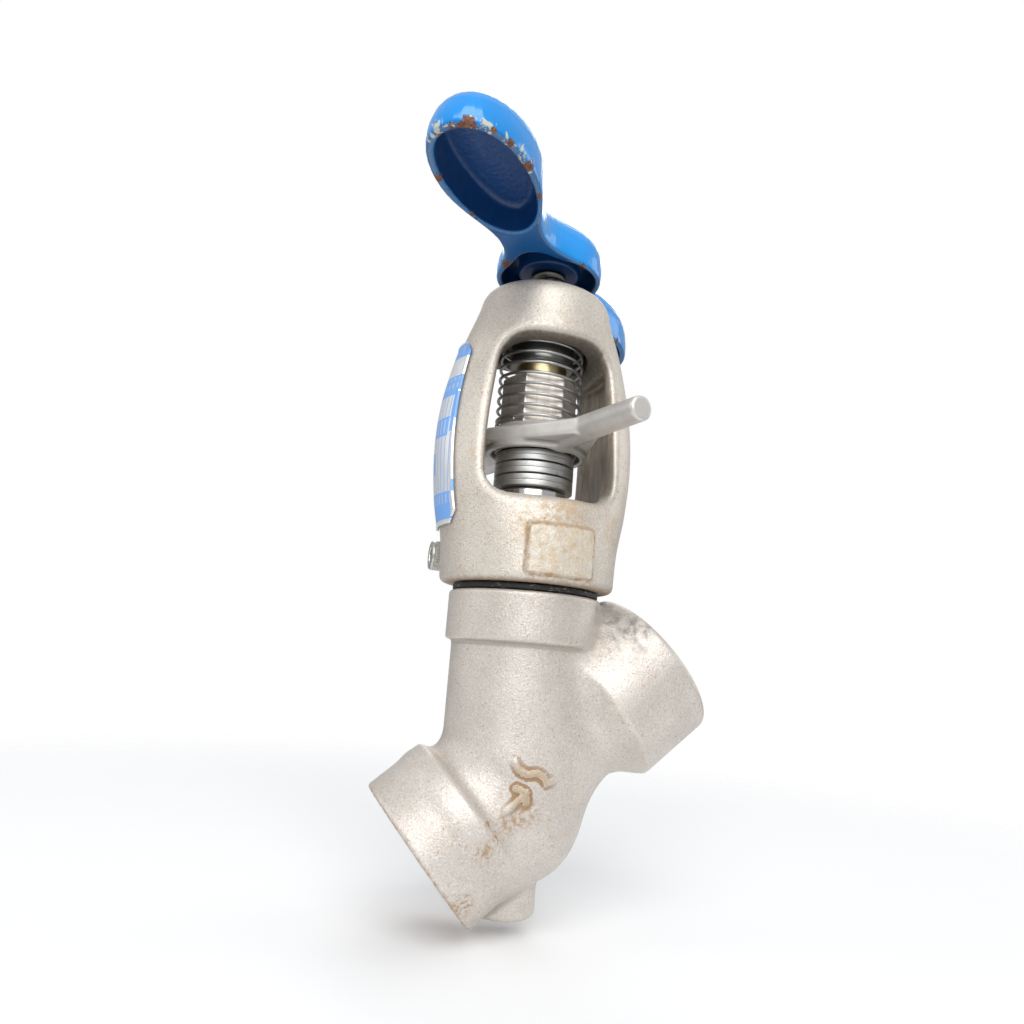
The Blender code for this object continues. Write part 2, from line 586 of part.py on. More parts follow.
def handle_outline(inset=0.0):
    """Outline of the two-lobed handle: round hub, narrow web, egg-shaped lobes."""
    hub, web, lobe, tip = 17.5 * MM, 7.4 * MM, 13.9 * MM, 81.0 * MM
    hub_to_web = ((0.0, hub), (11 * MM, hub), (15 * MM, web), (27 * MM, web))
    web_to_lobe = ((27 * MM, web), (36 * MM, web), (45 * MM, lobe), (57 * MM, lobe))
    lobe_to_tip = ((57 * MM, lobe), (70 * MM, lobe), (tip, 9 * MM), (tip, 0.0))
    outline = four_fold(bezier_path((hub_to_web, web_to_lobe, lobe_to_tip), 7), (tip, 0.0))
    if not inset:
        return outline
    moved = []
    for k, (x, y) in enumerate(outline):
        before, after = outline[k - 1], outline[(k + 1) % len(outline)]
        along = Vector((after[0] - before[0], after[1] - before[1])).normalized()
        moved.append((x + along.y * inset, y - along.x * inset))
    return moved


def lobe_cup_outline():
    near, far, half = 31.5 * MM, 78.0 * MM, 11.4 * MM
    inner = ((near, 0.0), (near, 6 * MM), (42 * MM, half), (57 * MM, half))
    outer = ((57 * MM, half), (69 * MM, half), (far, 7.5 * MM), (far, 0.0))
    upper = bezier_path((inner, outer), 6) + [(far, 0.0)]
    return upper + [(x, -y) for x, y in reversed(upper[1:-1])]


def make_handle(material):
    round_over = 6.5 * MM
    rings = [[(x, y, HANDLE_BOTTOM) for x, y in handle_outline()]]
    for turn in (0, 30, 60, 90):
        inset = 5.0 * MM * (1 - math.cos(math.radians(turn)))
        z = HANDLE_TOP - round_over * (1 - math.sin(math.radians(turn)))
        rings.append([(x, y, z) for x, y in handle_outline(inset)])
    handle = bridge_rings("handle", rings, material)
    spin = Matrix.Rotation(HANDLE_TURN, 4, "Z")
    handle.matrix_world = spin
    low = HANDLE_BOTTOM - 1 * MM
    hub_cup = [(0.0, low), (HUB_CUP_RADIUS, low), (HUB_CUP_RADIUS, HUB_CUP_TOP),
               (HANDLE_BOSS_RADIUS, HUB_CUP_TOP), (HANDLE_BOSS_RADIUS, HANDLE_BOSS_BOTTOM),
               (0.0, HANDLE_BOSS_BOTTOM)]
    cut(handle,
        turned("tool_hub_cup", hub_cup, segments=SMALL_ROUND, closed=False),
        rod("tool_stem_hole", SPIGOT_RADIUS + FIT, low, HANDLE_TOP + 1 * MM, 24),
        rod("tool_nut_pocket", POCKET_RADIUS, POCKET_FLOOR, HANDLE_TOP + 1 * MM, SMALL_ROUND))
    saddle = prism("tool_saddle", [(-42 * MM, HANDLE_TOP), (-24 * MM, HUB_TOP), (24 * MM, HUB_TOP),
                                   (42 * MM, HANDLE_TOP), (42 * MM, HANDLE_TOP + 2 * MM),
                                   (-42 * MM, HANDLE_TOP + 2 * MM)], -20 * MM, 20 * MM)
    saddle.matrix_world = spin @ Matrix.Rotation(math.pi / 2, 4, "X")
    cut(handle, saddle)
    for side in range(2):
        cup = prism(f"tool_lobe_cup_{side + 1}", lobe_cup_outline(), low, LOBE_CUP_TOP)
        cup.matrix_world = Matrix.Rotation(HANDLE_TURN + side * math.pi, 4, "Z")
        cut(handle, cup)


def make_handle_fixings(material):
    ring("handle_washer", STUD_RADIUS + FIT, 8.4 * MM, WASHER_BOTTOM, WASHER_TOP, material,
         chamfer=0.2 * MM)
    nut = prism("handle_nut", hexagon(13 * MM, math.radians(20)), WASHER_TOP + 0.1 * MM,
                HANDLE_NUT_TOP, material)
    cut(nut, rod("tool_handle_nut_bore", STUD_RADIUS + 0.2 * MM, WASHER_BOTTOM, STEM_TOP + 2 * MM, 24))


def build():
    clear_scene()
    forged = make_material("forged_steel", (0.58, 0.54, 0.49), 0.62, 0.35)
    blued = make_material("black_seal", (0.03, 0.03, 0.035), 0.6, 0.0)
    zinc = make_material("zinc_steel", (0.62, 0.62, 0.60), 0.35, 0.9)
    plate = make_material("printed_plate", (0.45, 0.62, 0.88), 0.35, 0.3)
    bronze = make_material("bronze", (0.62, 0.50, 0.28), 0.35, 0.9)
    polished = make_material("polished_steel", (0.66, 0.66, 0.66), 0.2, 1.0)
    spring = make_material("spring_steel", (0.36, 0.37, 0.38), 0.35, 0.9)
    graphite = make_material("graphite", (0.08, 0.08, 0.09), 0.55, 0.1)
    cast = make_material("cast_steel", (0.60, 0.58, 0.55), 0.4, 0.7)
    enamel = make_material("blue_enamel", (0.02, 0.20, 0.72), 0.22, 0.0)
    make_body(forged)
    make_yoke(forged)
    ring("neck_seal_ring", NECK_RADIUS + FIT, 22.3 * MM, BAND_TOP + 0.3 * MM, YOKE_BOTTOM - 0.3 * MM,
         blued, ROUND)
    make_clamp_screw(zinc)
    make_nameplate(plate)
    make_yoke_bushing(bronze)
    make_packing(polished, graphite)
    make_gland(polished)
    make_disc_springs(spring)
    make_thrust_bearing(polished, spring)
    make_gland_nut(cast)
    make_wrench(cast)
    make_return_spring(spring)
    make_stem(polished)
    make_disc(polished, polished)
    make_handle(enamel)
    make_handle_fixings(zinc)


build()
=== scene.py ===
"""Looks for the Y-pattern flow control valve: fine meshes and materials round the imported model.

Shape functions work in millimetres in the valve's own frame (+Z up the stem, origin at the flow
centre) and give a signed distance, negative inside. Meshes are written in metres.
"""

import json
import math

import bpy
import numpy as np
from mathutils import Matrix, Vector


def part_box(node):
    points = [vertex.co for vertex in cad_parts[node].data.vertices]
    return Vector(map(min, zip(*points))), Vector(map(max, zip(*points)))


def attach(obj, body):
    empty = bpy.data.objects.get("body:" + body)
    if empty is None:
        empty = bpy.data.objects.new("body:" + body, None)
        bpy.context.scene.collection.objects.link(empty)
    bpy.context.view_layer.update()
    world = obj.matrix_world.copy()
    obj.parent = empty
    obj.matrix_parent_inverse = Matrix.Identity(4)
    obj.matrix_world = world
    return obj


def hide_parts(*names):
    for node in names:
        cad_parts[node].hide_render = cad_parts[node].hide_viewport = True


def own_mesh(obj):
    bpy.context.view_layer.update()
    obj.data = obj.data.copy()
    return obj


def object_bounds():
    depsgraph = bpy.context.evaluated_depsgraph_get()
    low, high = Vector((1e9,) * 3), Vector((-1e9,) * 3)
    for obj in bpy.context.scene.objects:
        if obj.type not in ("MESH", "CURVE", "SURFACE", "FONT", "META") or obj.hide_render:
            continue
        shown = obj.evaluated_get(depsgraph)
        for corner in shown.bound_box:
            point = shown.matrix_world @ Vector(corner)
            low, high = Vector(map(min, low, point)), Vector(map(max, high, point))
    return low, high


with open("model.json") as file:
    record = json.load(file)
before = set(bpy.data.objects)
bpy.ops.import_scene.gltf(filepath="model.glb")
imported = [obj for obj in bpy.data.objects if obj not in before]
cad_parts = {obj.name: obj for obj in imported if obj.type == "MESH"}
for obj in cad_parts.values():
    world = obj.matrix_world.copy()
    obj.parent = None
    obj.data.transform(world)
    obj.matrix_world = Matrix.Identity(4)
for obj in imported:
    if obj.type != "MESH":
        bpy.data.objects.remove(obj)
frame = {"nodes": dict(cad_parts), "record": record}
CAD_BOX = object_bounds()

MM = 0.001
TAU = 2 * math.pi
MOUNTS = {mount["name"]: mount for mount in frame["record"]["mounts"]}
PIPE = np.array(MOUNTS["pipe_run"]["axis"])
ACROSS = np.array((-PIPE[2], 0.0, PIPE[0]))


# ---------------------------------------------------------------- sizes, in millimetres

def heights(node):
    """Lowest and highest Z of a CAD node."""
    low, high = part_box(node)
    return low.z / MM, high.z / MM


def outer_radius(node):
    low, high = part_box(node)
    return (high.x - low.x) / 2 / MM


def reach(mount):
    """How far a mount lies along the pipe's axis from the flow centre."""
    return float(np.dot(MOUNTS[mount]["pos_m"], PIPE)) / MM


INLET_END, OUTLET_END = reach("inlet_face"), reach("outlet_face")
HUB_RADIUS = 24.0
SOCKET_RADIUS = 17.0
SOCKET_DEPTH = 13.0
BORE_RADIUS = 8.8
INLET_SHIFT, OUTLET_SHIFT = -4.0, 5.0       # how far the bores lie off the pipe's axis
BARREL_RADIUS = 21.2
BARREL_BOTTOM = -8.5                        # centre of the barrel's round lower end
BAND_RADIUS = 23.0
YOKE_LOW, YOKE_HIGH = heights("yoke")
NECK_RADIUS = 20.0
BAND_TOP = YOKE_LOW - 2.3
BAND_LOW = BAND_TOP - 14.6
BOSS_RADIUS = 9.5
BOSS_LOW = -37.4
SEAT, PORT_RADIUS = 3.0, 8.0                # the valve's seat, and the opening that it closes
CHAMBER_RADIUS = 10.4
PACKING_BORE = 11.0
PACKING_FLOOR = 50.0
NECK_TOP = 77.7
STEM_RADIUS = 5.75
STEM_THREAD_LOW = 110.0
STEM_BORE = 6.1                             # of the pieces that the stem passes through
WINDOW_LOW, WINDOW_HIGH = 81.2, 131.3
CAVITY_RADIUS = 20.9                        # round hollow between the yoke's legs
RECESS_RADIUS, RECESS_TOP = 14.6, 135.2     # takes the return spring's upper end
PAD_MIDDLE, PAD_HALF = (2.2, 65.0), (10.2, 7.2)      # raised pad on the yoke's front: X and Z
SLIT_HALF = 0.9
BUSHING_RADIUS, BUSHING_STEP = outer_radius("yoke_bushing"), 127.2
LUG_REACH = 20.0
SCREW_LOW, SCREW_HIGH = (Vector(corner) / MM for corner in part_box("clamp_screw"))
SCREW_Y, SCREW_Z = (SCREW_LOW.y + SCREW_HIGH.y) / 2, (SCREW_LOW.z + SCREW_HIGH.z) / 2
SPRING_THICK = 1.68                         # of the disc springs
CAGE_RADIUS, NEEDLES = outer_radius("thrust_cage"), 26
CAGE_LOW, CAGE_HIGH = heights("thrust_cage")
WRENCH_LOW, WRENCH_HIGH = heights("gland_wrench")
NUT_LOW, NUT_HIGH = heights("gland_nut")
NUT_TURN = math.radians(-8.6)               # one corner of the gland nut, from +X
ARM_TURN = math.radians(14.8)               # front arm, from -Y towards +X
ARM_Z, ARM_REACH, ARM_SHOULDER = 101.7, 52.5, 28.0
HANDLE_LOW, HANDLE_HIGH = heights("handle")
HANDLE_TURN = math.radians(-125.0)          # near lobe, from +X
HUB_HALF, WEB_HALF, LOBE_HALF = 17.5, 7.4, 13.9      # half widths of the handle's stretches
WEB_AT, LOBE_AT, TIP_AT = 27.0, 57.0, 81.0  # and how far out each lies
LOBE_CEILING = 168.5
HUB_CEILING = 169.6
POCKET_FLOOR, POCKET_RADIUS = 171.4, 8.8    # of the pocket round the handle's nut
COIL_RADIUS, COIL_WIRE, COIL_TURNS = 13.15, 0.5, 9.25      # of the return spring
COIL_START = math.radians(219)
COIL_LOW, COIL_HIGH = 107.0, 134.4

# Yoke stations: height, half width along X, half depth along Y
YOKE_STATIONS = ((55.0, 26.6, 26.8), (68.0, 27.4, 26.8), (81.0, 29.8, 25.4), (97.0, 31.3, 22.9),
                 (113.0, 30.2, 21.3), (131.0, 26.2, 20.0), (145.0, 21.6, 18.6), (153.0, 20.6, 18.0))


# ---------------------------------------------------------------- distance functions

def smooth_min(a, b, blend):
    share = np.maximum(blend - np.abs(a - b), 0.0) / blend
    return np.minimum(a, b) - share * share * blend / 4


def smooth_max(a, b, blend):
    return -smooth_min(-a, -b, blend)


def cut_away(solid, tool, edge=0.8):
    return smooth_max(solid, -tool, edge)


def drum(radial, along, radius, low, high, edge=0.5):
    """A cylinder with rounded edges."""
    side = radial - radius + edge
    end = np.abs(along - (low + high) / 2) - (high - low) / 2 + edge
    inward = np.minimum(np.maximum(side, end), 0.0)
    return inward + np.hypot(np.maximum(side, 0.0), np.maximum(end, 0.0)) - edge


def slab(p, centre, half, edge):
    """A box with rounded edges."""
    q = np.abs(p - np.array(centre)) - np.array(half) + edge
    return np.minimum(q.max(axis=1), 0.0) + np.linalg.norm(np.maximum(q, 0.0), axis=1) - edge


def polygon(u, v, points):
    """Signed distance to a closed outline in a plane."""
    nearest = np.full(u.shape, np.inf)
    inside = np.zeros(u.shape, bool)
    for (u0, v0), (u1, v1) in zip(points, points[1:] + points[:1]):
        du, dv = u1 - u0, v1 - v0
        along = np.clip(((u - u0) * du + (v - v0) * dv) / max(du * du + dv * dv, 1e-12), 0.0, 1.0)
        nearest = np.minimum(nearest, (u - u0 - along * du) ** 2 + (v - v0 - along * dv) ** 2)
        if dv:
            crosses = (v0 > v) != (v1 > v)
            inside ^= crosses & (u < u0 + du * (v - v0) / dv)
    return np.where(inside, -1.0, 1.0) * np.sqrt(nearest)


def turned_shape(radial, along, profile, edge=0.0):
    """A turned shape from a profile of (radius, height) that closes on the axis."""
    mirrored = profile + [(-radius, height) for radius, height in reversed(profile) if radius > 0]
    return polygon(radial, along, mirrored) - edge


def hexagon(x, y, flats, turn):
    """Distance to a hexagon across its flats; one corner points at the angle turn."""
    angles = [turn + math.pi / 6 + k * math.pi / 3 for k in range(6)]
    return np.max([x * math.cos(a) + y * math.sin(a) for a in angles], axis=0) - flats / 2


def ease(low, high, value):
    share = np.clip((value - low) / (high - low), 0.0, 1.0)
    return share * share * (3 - 2 * share)


def through_stations(z, stations, column):
    """A smooth curve through the stations' values."""
    levels, values = [s[0] for s in stations], [s[column] for s in stations]
    last = len(stations) - 1
    pairs = [(max(i - 1, 0), min(i + 1, last)) for i in range(last + 1)]
    slopes = [(values[j] - values[i]) / (levels[j] - levels[i]) for i, j in pairs]
    k = np.clip(np.searchsorted(levels, z) - 1, 0, last - 1)
    z0, z1 = np.take(levels, k), np.take(levels, k + 1)
    v0, v1 = np.take(values, k), np.take(values, k + 1)
    gap = z1 - z0
    t = np.clip((z - z0) / gap, 0.0, 1.0)
    bend0, bend1 = np.take(slopes, k) * gap, np.take(slopes, k + 1) * gap
    return ((2 * t**3 - 3 * t**2 + 1) * v0 + (t**3 - 2 * t**2 + t) * bend0
            + (3 * t**2 - 2 * t**3) * v1 + (t**3 - t**2) * bend1)


# ---------------------------------------------------------------- meshing

def gradient(distance, p, step=0.05):
    parts = []
    for axis in range(3):
        shift = np.zeros(3)
        shift[axis] = step
        parts.append((distance(p + shift) - distance(p - shift)) / (2 * step))
    return np.stack(parts, axis=1)


def pull_to_surface(distance, p, cell, rounds=5):
    """Move points onto the zero surface, never further than one cell from where they start."""
    start = p.copy()
    for _ in range(rounds):
        slope = gradient(distance, p)
        size = np.maximum((slope * slope).sum(axis=1), 0.05)
        p = p - slope * (distance(p) / size)[:, None]
        p = start + np.clip(p - start, -cell, cell)
    return p


def net_faces(inside, number):
    """One quad for each grid edge that crosses the surface."""
    quads = []
    for axis in range(3):
        solid, cells = np.moveaxis(inside, axis, 0), np.moveaxis(number, axis, 0)
        crossing = solid[:-1, 1:-1, 1:-1] != solid[1:, 1:-1, 1:-1]
        i, j, k = np.nonzero(crossing)
        j, k = j + 1, k + 1
        around = ((j - 1, k - 1), (j, k - 1), (j, k), (j - 1, k))
        quad = np.stack([cells[i, a, b] for a, b in around], axis=1)
        outward = solid[i, j, k] == (axis != 1)
        quads.append(np.where(outward[:, None], quad, quad[:, ::-1]))
    return np.concatenate(quads)


def net_mesh(name, distance, low, high, cell):
    """Mesh the zero surface of a distance function with surface nets."""
    axes = [np.arange(a - 2 * cell, b + 3 * cell, cell) for a, b in zip(low, high)]
    shape = [len(axis) for axis in axes]
    field = np.empty(shape)
    for k, x in enumerate(axes[0]):
        y, z = np.meshgrid(axes[1], axes[2], indexing="ij")
        p = np.stack((np.full(y.size, x), y.ravel(), z.ravel()), axis=1)
        field[k] = distance(p).reshape(y.shape)
    inside = field < 0
    filled = sum(inside[a:shape[0] - 1 + a, b:shape[1] - 1 + b, c:shape[2] - 1 + c].astype(np.int8)
                 for a in (0, 1) for b in (0, 1) for c in (0, 1))
    active = (filled > 0) & (filled < 8)
    number = np.full(active.shape, -1)
    number[active] = np.arange(active.sum())
    corners = np.argwhere(active)
    p = np.stack([axes[k][corners[:, k]] for k in range(3)], axis=1) + cell / 2
    p = pull_to_surface(distance, p, cell)
    mesh = bpy.data.meshes.new(name)
    mesh.from_pydata((p * MM).tolist(), [], net_faces(inside, number).tolist())
    mark_edges(mesh, distance, p)
    return mesh


def mark_edges(mesh, distance, p, span=1.1):
    """Store how sharply the surface bends out (1) or in (-1), for painted highlights on edges,
    painted shade in hollows and rust along the flow mark.
    """
    steps = ((span, 0, 0), (-span, 0, 0), (0, span, 0), (0, -span, 0), (0, 0, span), (0, 0, -span))
    total = sum(distance(p + np.array(step)) for step in steps)
    store(mesh, "bend", np.clip((total - 6 * distance(p)) / span**2, -1.0, 1.0))


def points_and_normals(mesh):
    normals, points = (np.empty(len(mesh.vertices) * 3, np.float32) for _ in range(2))
    mesh.vertex_normals.foreach_get("vector", normals)
    mesh.vertices.foreach_get("co", points)
    return points.reshape(-1, 3) / MM, normals.reshape(-1, 3)


def store(mesh, name, values):
    mesh.attributes.new(name, "FLOAT", "POINT").data.foreach_set("value", values.astype(np.float32))


def mark_handle_inside(mesh):
    """Store 1 on the walls and ceilings of the handle's three hollows."""
    points, normals = points_and_normals(mesh)
    x, y, z = points.T
    centre = np.where(np.abs(x) > WEB_AT + 2.0, LOBE_AT * np.sign(x), 0.0)
    radial = np.hypot(x - centre, y) + 1e-6
    outward = (normals[:, 0] * (x - centre) + normals[:, 1] * y) / radial
    facing_in = np.clip(np.maximum(-outward - 0.3, -normals[:, 2] - 0.35) * 5.0, 0.0, 1.0)
    facing_in[(np.hypot(x, y) < 12.0) & (normals[:, 2] < 0.3)] = 1.0
    above_rim = np.clip((z - HANDLE_LOW - 0.35) * 2.5, 0.0, 1.0)
    store(mesh, "inside", facing_in * above_rim * (z < HUB_CEILING + 0.6))


def mark_window_inside(mesh):
    """Store 1 on the inner faces of the yoke's legs and on the arch over them."""
    points, normals = points_and_normals(mesh)
    x, _, z = points.T
    leg = np.clip((-normals[:, 0] * np.sign(x) - 0.45) * 4.0, 0.0, 1.0) * (np.abs(x) < 24.0)
    arch = np.clip((-normals[:, 2] - 0.45) * 4.0, 0.0, 1.0) * (np.abs(x) < 20.0)
    height = ease(WINDOW_LOW, WINDOW_LOW + 5.0, z) * (z < RECESS_TOP + 1.0)
    store(mesh, "inside", np.maximum(leg, arch) * height)


def show(name, mesh, material, body, replaces, sharp=None):
    """Put a finished mesh in the scene, riding on its CAD body in place of its CAD nodes."""
    item = bpy.data.objects.new(name, mesh)
    bpy.context.scene.collection.objects.link(item)
    mesh.materials.append(material)
    mesh.shade_smooth()
    if sharp:
        mesh.set_sharp_from_angle(angle=math.radians(sharp))
    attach(item, body)
    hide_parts(*replaces)
    return item


def rounded(profile, radius, steps=4, closed=True):
    """Replace a profile's corners by small curves."""
    points, count = [], len(profile)
    for k, corner in enumerate(profile):
        if not closed and k in (0, count - 1):
            points.append(corner)
            continue
        here = np.array(corner, float)
        before, after = np.array(profile[k - 1], float), np.array(profile[(k + 1) % count], float)
        back, on = before - here, after - here
        trim = min(radius, 0.45 * np.linalg.norm(back), 0.45 * np.linalg.norm(on))
        first = here + back / np.linalg.norm(back) * trim
        last = here + on / np.linalg.norm(on) * trim
        for t in np.linspace(0.0, 1.0, steps + 1):
            points.append(tuple((1 - t) ** 2 * first + 2 * t * (1 - t) * here + t * t * last))
    return points


def turned_mesh(name, profile, segments=128, closed=True, wave=None):
    """Turn a profile of (radius, height) round the stem; an open profile ends on the axis."""
    count = len(profile)
    points, rows = [], []
    for radius, height in profile:
        if radius < 1e-6:
            rows.append([len(points)] * segments)
            points.append((0.0, 0.0, height))
            continue
        rows.append(list(range(len(points), len(points) + segments)))
        for k in range(segments):
            angle = TAU * k / segments
            r = radius + (wave(angle, height, radius) if wave else 0.0)
            points.append((r * math.cos(angle), r * math.sin(angle), height))
    faces = []
    for row in range(count if closed else count - 1):
        lower, upper = rows[row], rows[(row + 1) % count]
        for k in range(segments):
            after = (k + 1) % segments
            corners = [lower[k], lower[after], upper[after], upper[k]]
            faces.append(list(dict.fromkeys(corners)))
    mesh = bpy.data.meshes.new(name)
    mesh.from_pydata([(x * MM, y * MM, z * MM) for x, y, z in points], [], faces)
    return mesh


# ---------------------------------------------------------------- shapes

def pipe_frame(p):
    """Distance along the pipe's axis, sideways in the pipe's plane, and from the axis."""
    along, across = p @ PIPE, p @ ACROSS
    return along, across, np.hypot(across, p[:, 1])


def pipe_rod(p, shift, radius, low, high):
    along, across, _ = pipe_frame(p)
    return drum(np.hypot(across - shift, p[:, 1]), along, radius, low, high, 0.2)


# Strokes of the flow mark, as (X, Z): a wave and an arrow's two wings
FLOW_MARK = (((-5.6, 7.4), (-4.3, 5.2), (-1.9, 4.2), (0.7, 4.5), (2.6, 3.9), (3.9, 2.2),
              (5.4, 2.6)),
             ((-6.6, -5.4), (-4.0, -3.0), (-2.2, -1.2)),
             ((-4.4, 0.2), (-2.0, -0.6), (-1.7, -3.2)))


def flow_mark(p, skin):
    """Raised strokes on the barrel's front: a wave and an arrow that points along the flow."""
    flat = p[:, (0, 2)]
    nearest = np.full(len(p), np.inf)
    for stroke in FLOW_MARK:
        for start, end in zip(stroke, stroke[1:]):
            a, run = np.array(start), np.array(end) - np.array(start)
            share = np.clip((flat - a) @ run / (run @ run), 0.0, 1.0)
            nearest = np.minimum(nearest, np.hypot(*(flat - a - share[:, None] * run).T))
    front = np.where(p[:, 1] < 0, 0.0, 20.0)
    worn = 0.12 * np.sin(flat[:, 0] * 4.1) * np.sin(flat[:, 1] * 3.7)
    return np.hypot(np.maximum(nearest - 0.2, 0.0), skin + 0.05 + front) - 0.62 + worn


def body_skin(p):
    """The forging's outside."""
    x, y, z = p.T
    along, across, radial = pipe_frame(p)
    stem = np.hypot(x, y)
    below = np.minimum(z - BARREL_BOTTOM, 0.0)
    barrel = np.maximum(np.hypot(stem, below) - BARREL_RADIUS, z - BAND_TOP + 4.0)
    band = drum(stem, z, BAND_RADIUS + 0.2, BAND_LOW, BAND_TOP, 1.0)
    inlet = drum(radial, along, HUB_RADIUS, INLET_END, -15.6, 1.0)
    root = [(0.0, -20.0), (21.6, -20.0), (18.5, -8.0), (0.0, -8.0)]
    inlet_root = turned_shape(radial, along, root, 0.6)
    solid = smooth_min(barrel, smooth_min(inlet, inlet_root, 5.0), 5.0)
    outlet_neck = drum(radial, along, 17.1, 0.0, 34.0, 1.0)
    outlet_top = OUTLET_END - 2.0
    outlet = turned_shape(radial, along, [(0.0, 27.5), (16.4, 27.5), (22.0, 33.4),
                                          (22.0, outlet_top), (0.0, outlet_top)], 2.0)
    solid = smooth_min(smooth_min(outlet_neck, outlet, 3.0), solid, 9.0)
    solid = smooth_min(solid, band, 1.3)
    boss = drum(stem, z, BOSS_RADIUS, BOSS_LOW, BARREL_BOTTOM, 2.2)
    solid = smooth_min(solid, boss, 1.4)
    return np.minimum(solid, drum(stem, z, NECK_RADIUS, 30.0, NECK_TOP, 0.6))


def body_shape(p):
    """The forging with its flow mark and bores."""
    x, y, z = p.T
    stem = np.hypot(x, y)
    skin = body_skin(p)
    solid = smooth_min(skin, flow_mark(p, skin), 0.7)
    bores = [drum(stem, z, PORT_RADIUS, -10.0, SEAT + 2.0, 0.2),
             drum(stem, z, CHAMBER_RADIUS, SEAT, 60.0, 0.3),
             drum(stem, z, PACKING_BORE, PACKING_FLOOR, NECK_TOP + 9.0, 0.3),
             pipe_rod(p, 0.0, SOCKET_RADIUS, INLET_END - 9.0, INLET_END + SOCKET_DEPTH),
             pipe_rod(p, INLET_SHIFT, BORE_RADIUS, INLET_END + 9.0, 2.0),
             pipe_rod(p, 0.0, SOCKET_RADIUS, OUTLET_END - SOCKET_DEPTH, OUTLET_END + 9.0),
             pipe_rod(p, OUTLET_SHIFT, BORE_RADIUS, 12.0, OUTLET_END - 9.0)]
    for bore in bores:
        solid = cut_away(solid, bore, 0.7)
    return solid


WINDOW_OUTLINE = rounded([(-19.6, WINDOW_LOW), (19.6, WINDOW_LOW), (19.4, 104.0),
                          (16.4, WINDOW_HIGH), (-16.4, WINDOW_HIGH), (-19.4, 104.0)], 9.0, 6)


def yoke_skin(p):
    """The yoke's outside: an oval tapering towards the head."""
    x, y, z = p.T
    width, depth = through_stations(z, YOKE_STATIONS, 1), through_stations(z, YOKE_STATIONS, 2)
    share = np.hypot(x / width, y / depth)
    side = (share - 1) * np.minimum(width, depth) * 0.98
    middle, half = (YOKE_HIGH + YOKE_LOW) / 2, (YOKE_HIGH - YOKE_LOW) / 2
    end = np.abs(z - middle) - half
    edge = np.where(z > middle, 6.5, 2.2)
    return smooth_max(side, end, edge)


def yoke_shape(p):
    """The yoke with its lugs and pad, less its window, hollows, slit and screw hole."""
    x, y, z = p.T
    stem = np.hypot(x, y)
    skin = yoke_skin(p)
    lug_p = p.copy()
    lug_p[:, 0] = np.abs(x)
    lugs = slab(lug_p, (0.0, 21.0, SCREW_Z), (LUG_REACH, 10.5, 6.5), 3.0)
    pad_p = np.stack((x, skin, z), axis=1)
    wave = 0.10 * np.sin(x * 0.9 + 1.3 * np.sin(z * 0.6)) * np.sin(z * 0.55 + 0.8)
    pad = slab(pad_p, (PAD_MIDDLE[0], 0.0, PAD_MIDDLE[1]), (PAD_HALF[0], 1.0, PAD_HALF[1]), 0.9)
    pad += wave + np.where(y < 0, 0.0, 20.0)
    solid = smooth_min(smooth_min(skin, lugs, 3.0), pad, 0.6)
    window = np.maximum(polygon(x, z, WINDOW_OUTLINE), np.abs(y) - 60.0)
    solid = cut_away(solid, window, 4.2)
    cavity = drum(stem, z, CAVITY_RADIUS, WINDOW_LOW + 2.0, WINDOW_HIGH - 6.0, 1.0)
    solid = cut_away(solid, cavity, 0.8)
    for hole in (drum(stem, z, RECESS_RADIUS, WINDOW_HIGH - 12.0, RECESS_TOP, 0.3),
                 drum(stem, z, BUSHING_RADIUS + 0.2, 120.0, YOKE_HIGH + 9.0, 0.1),
                 drum(stem, z, NECK_RADIUS + 0.3, YOKE_LOW - 9.0, NECK_TOP + 0.4, 0.2),
                 drum(stem, z, 14.0, NECK_TOP - 4.0, WINDOW_LOW + 4.0, 0.2)):
        solid = cut_away(solid, hole, 0.6)
    slit = slab(p, (0.0, 40.0, 60.0), (SLIT_HALF, 30.0, 30.0), 0.1)
    solid = cut_away(solid, slit, 0.7)
    screw = drum(np.hypot(y - SCREW_Y, z - SCREW_Z), x, 3.3, -60.0, 17.5, 0.1)
    return cut_away(solid, screw, 0.6)


def curve(a, b, c, d, steps=10):
    """Points along a cubic curve, without its last one."""
    a, b, c, d = np.array((a, b, c, d))
    return [tuple((1 - s)**3 * a + 3 * s * (1 - s)**2 * b + 3 * s * s * (1 - s) * c + s**3 * d)
            for s in np.linspace(0.0, 1.0, steps + 1)[:-1]]


def handle_outline():
    """The two-lobed handle from above."""
    quarter = (curve((0.0, HUB_HALF), (11.0, HUB_HALF), (15.0, WEB_HALF), (WEB_AT, WEB_HALF))
               + curve((WEB_AT, WEB_HALF), (36.0, WEB_HALF), (45.0, LOBE_HALF),
                       (LOBE_AT, LOBE_HALF))
               + curve((LOBE_AT, LOBE_HALF), (70.0, LOBE_HALF), (TIP_AT, 9.0), (TIP_AT, 0.0)))
    right = quarter + [(TIP_AT, 0.0)] + [(x, -y) for x, y in reversed(quarter)]
    return right + [(-x, -y) for x, y in right[1:-1]]


def lobe_cup_outline():
    """The hollow under one lobe, from above."""
    near, far, half = 31.5, 78.2, 11.6
    upper = (curve((near, 0.0), (near, 6.0), (42.0, half), (LOBE_AT, half))
             + curve((LOBE_AT, half), (69.0, half), (far, 7.5), (far, 0.0)))
    return upper + [(far, 0.0)] + [(x, -y) for x, y in reversed(upper[1:])]


HANDLE_PLAN, CUP_PLAN = handle_outline(), lobe_cup_outline()


